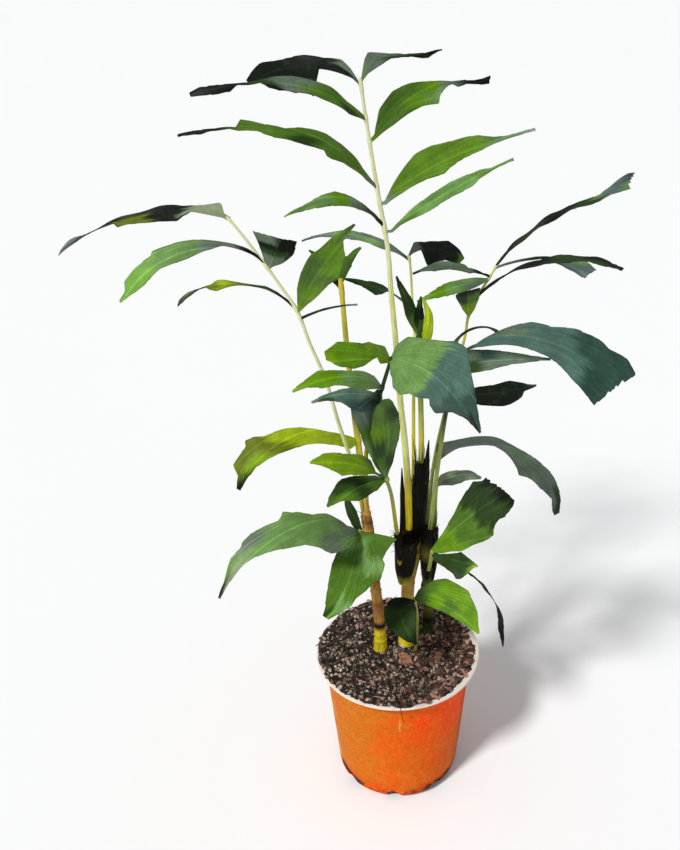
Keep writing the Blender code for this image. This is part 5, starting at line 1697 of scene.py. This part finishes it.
def stalk_radii(frond, places):
    """Radii along a petiole and rachis, a little thicker where a leaflet grows out."""
    share = places / places[-1]
    radii = (frond.base_radius + (frond.tip_radius - frond.base_radius) * share) * MM
    for leaf in frond.leaflets:
        near = np.exp(-((share - leaf.at) * places[-1] / BUMP_WIDTH) ** 2)
        radii += (0.3 + 0.12 * frond.tip_radius) * MM * near * (share < 0.995)
    return radii


def leaflets_mesh(name, frond, first_seed, sizes):
    """All leaflets of a frond as one mesh of open sheets."""
    route = smooth_route(frond.route, 2)
    sheets = []
    for place, (leaf, looks) in enumerate(zip(frond.leaflets, LEAF_LOOKS[name], strict=True)):
        rng = np.random.default_rng(first_seed + place)
        margins = MARGINS.get((name, place))
        sheets.append(blade_sheet(leaf, along(route, leaf.at), looks, margins, sizes, rng))
    points, quads, tints, facts, stout = zip(*sheets)
    before = np.cumsum([0] + [len(sheet) for sheet in points[:-1]])
    faces = np.vstack([sheet + count for sheet, count in zip(quads, before)]).tolist()
    return mesh_with(name, np.vstack(points), (), faces, tint=np.vstack(tints), fan=np.vstack(facts),
                     stout=np.concatenate(stout))


# Operators

class PALM_OT_stage(Operator):
    """Make the floor, the lights and the camera"""
    bl_idname = "palm.stage"
    bl_label = "Stage"

    def execute(self, context):
        sizes = context.scene.palm.stage
        mesh = bpy.data.meshes.new("floor")
        cage = bmesh.new()
        bmesh.ops.create_circle(cage, cap_ends=True, cap_tris=True, segments=FLOOR_SIDES,
                                radius=FLOOR_RADIUS)
        cage.to_mesh(mesh)
        cage.free()
        mesh.materials.append(floor_finish(sizes))
        floor = placed("floor", mesh)

        world = bpy.data.worlds.new("studio")
        world.use_nodes = True
        back = world.node_tree.nodes["Background"]
        back.inputs["Color"].default_value = SKY_COLOUR
        back.inputs["Strength"].default_value = sizes.sky
        context.scene.world = world

        lamp = bpy.data.lights.new("key", "SUN")
        lamp.energy = sizes.key
        lamp.angle = sizes.key_width
        lamp.color = KEY_COLOUR
        key = placed("key", lamp)
        key.rotation_euler = Vector(KEY_FROM).to_track_quat("Z", "Y").to_euler()

        eye = bpy.data.cameras.new("camera")
        eye.sensor_width = SENSOR_WIDTH
        eye.lens = FOCAL_PX / PHOTO_HEIGHT_PX * SENSOR_WIDTH
        eye.shift_x = (PHOTO_MIDDLE_PX - PLANT_MIDDLE_PX) / PHOTO_HEIGHT_PX
        eye.clip_end = CAMERA_FAR
        camera = placed("camera", eye)
        camera.location = CAMERA_PLACE
        camera.rotation_euler = (math.radians(90 - CAMERA_DOWN), 0.0, 0.0)
        context.scene.camera = camera
        context.scene.view_settings.view_transform = "Standard"
        return {"FINISHED"}


class PALM_OT_pot(Operator):
    """Turn the nursery pot and cut its drainage holes"""
    bl_idname = "palm.pot"
    bl_label = "Pot"

    def execute(self, context):
        sizes = context.scene.palm.pot
        mat = pot_finish(sizes)
        shell = turned("pot", pot_profile(), mat, segments=sizes.segments, warp=sizes.warp)
        tilt = math.radians(DRAIN_TILT)
        pot = grown("pot_shell", shell.data, drain_tree(), mat, holes=DRAIN_HOLES, radius=DRAIN_RADIUS,
                    ring=CORNER_CENTRE + CORNER_RADIUS * math.cos(tilt),
                    height=CORNER_RADIUS * (1 - math.sin(tilt)), tilt=math.tan(tilt),
                    start=math.radians(DRAIN_START))
        bpy.data.objects.remove(shell)
        dressed(pot, "pot", sharp=POT_CREASE)
        return {"FINISHED"}


class PALM_OT_soil(Operator):
    """Fill the pot and strew perlite, bark and crumbs over the filling"""
    bl_idname = "palm.soil"
    bl_label = "Soil"

    def execute(self, context):
        sizes = context.scene.palm.soil
        mat = soil_finish(sizes)
        heap = turned("soil", soil_profile(), mat, segments=SOIL_SEGMENTS)
        filling = grown("soil_filling", heap.data, lumps_tree(), mat, height=sizes.lump_height,
                        edge=SOIL_EDGE)
        bpy.data.objects.remove(heap)
        dressed(filling, "soil")
        for name, slot, finish, how in strewn_kinds(sizes):
            grains = grown(name, filling.data.copy(), scatter_tree(), finish, edge=RIM_RADIUS, **how)
            dressed(grains, smooth=name == "perlite_grains")
        threads = [root_thread(route, sizes.thread) for route in ROOT_THREADS]
        dressed(tube_piece("root_threads", threads, husk_finish(), THREAD_SIDES))
        return {"FINISHED"}


class PALM_OT_bark(Operator):
    """Shape the three large chips of bark"""
    bl_idname = "palm.bark"
    bl_label = "Bark chips"

    def execute(self, context):
        mat = bark_finish(context.scene.palm.soil)
        for number, (name, chip) in enumerate(BARK.items()):
            mesh = chip_mesh(name + "_piece", chip, np.random.default_rng(BARK_SEED + number))
            mesh.materials.append(mat)
            dressed(placed(name + "_piece", mesh), name, sharp=BARK_CREASE)
        return {"FINISHED"}


class PALM_OT_stems(Operator):
    """Grow the three canes with their leaf scars, sheaths and loose fibres"""
    bl_idname = "palm.stems"
    bl_label = "Stems"

    def execute(self, context):
        sizes = context.scene.palm.stem
        for number, (name, stem) in enumerate(STEMS.items()):
            points, places = evenly(smooth_route(stem.route), CANE_STEP)
            radii = cane_radii(stem, points, places, sizes.ring)
            tints = cane_tints(name, points[:, 2])
            cane = tube_piece(name + "_cane", [(points, radii, tints)], stalk_finish(),
                              sizes.sides + EXTRA_CANE_SIDES)
            dressed(cane, name)
            rng = np.random.default_rng(STEM_SEED + number)
            husks, fibres = sheaths_and_fibres(name, sizes.fibre, rng)
            dressed(tube_piece(name + "_sheaths", husks, husk_finish(), sizes.sides))
            dressed(tube_piece(name + "_fibres", fibres, husk_finish(), FIBRE_SIDES))
        return {"FINISHED"}


class PALM_OT_fronds(Operator):
    """Grow every frond: its stalk, and its leaflets as pleated blades"""
    bl_idname = "palm.fronds"
    bl_label = "Fronds"

    def execute(self, context):
        palm = context.scene.palm
        for number, (name, frond) in enumerate(FRONDS.items()):
            points, places = evenly(smooth_route(frond.route), STALK_STEP)
            tints = tint_along(STALK_LOOKS[name], places / places[-1], STALK_TINTS)
            chains = [(points, stalk_radii(frond, places), tints)]
            dressed(tube_piece(name + "_stalk", chains, stalk_finish(), palm.stem.sides), name)
            mesh = leaflets_mesh(name, frond, LEAF_SEED + SEEDS_PER_FROND * number, palm.leaf)
            leaves = grown(name + "_leaflets", mesh, blade_tree(), leaf_finish(),
                           thickness=palm.leaf.thickness)
            dressed(leaves, name)
        return {"FINISHED"}


class PALM_PT_panel(Panel):
    """Lists the palm's pieces"""
    bl_label = "Potted palm"
    bl_idname = "PALM_PT_panel"
    bl_space_type = "VIEW_3D"
    bl_region_type = "UI"
    bl_category = "Palm"

    def draw(self, context):
        for operator in OPERATORS:
            self.layout.operator(operator.bl_idname)


OPERATORS = (PALM_OT_stage, PALM_OT_pot, PALM_OT_soil, PALM_OT_bark, PALM_OT_stems, PALM_OT_fronds)
CLASSES = (PotSettings, SoilSettings, StemSettings, LeafSettings, StageSettings, PalmSettings, *OPERATORS,
           PALM_PT_panel)


def register():
    for cls in CLASSES:
        bpy.utils.register_class(cls)
    bpy.types.Scene.palm = PointerProperty(type=PalmSettings, name="Palm",
                                           description="The potted palm's settings")


def unregister():
    del bpy.types.Scene.palm
    for cls in reversed(CLASSES):
        bpy.utils.unregister_class(cls)


def main():
    register()
    bpy.ops.palm.stage()
    bpy.ops.palm.pot()
    bpy.ops.palm.soil()
    bpy.ops.palm.bark()
    bpy.ops.palm.stems()
    bpy.ops.palm.fronds()
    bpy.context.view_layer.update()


if __name__ == "__main__":
    main()
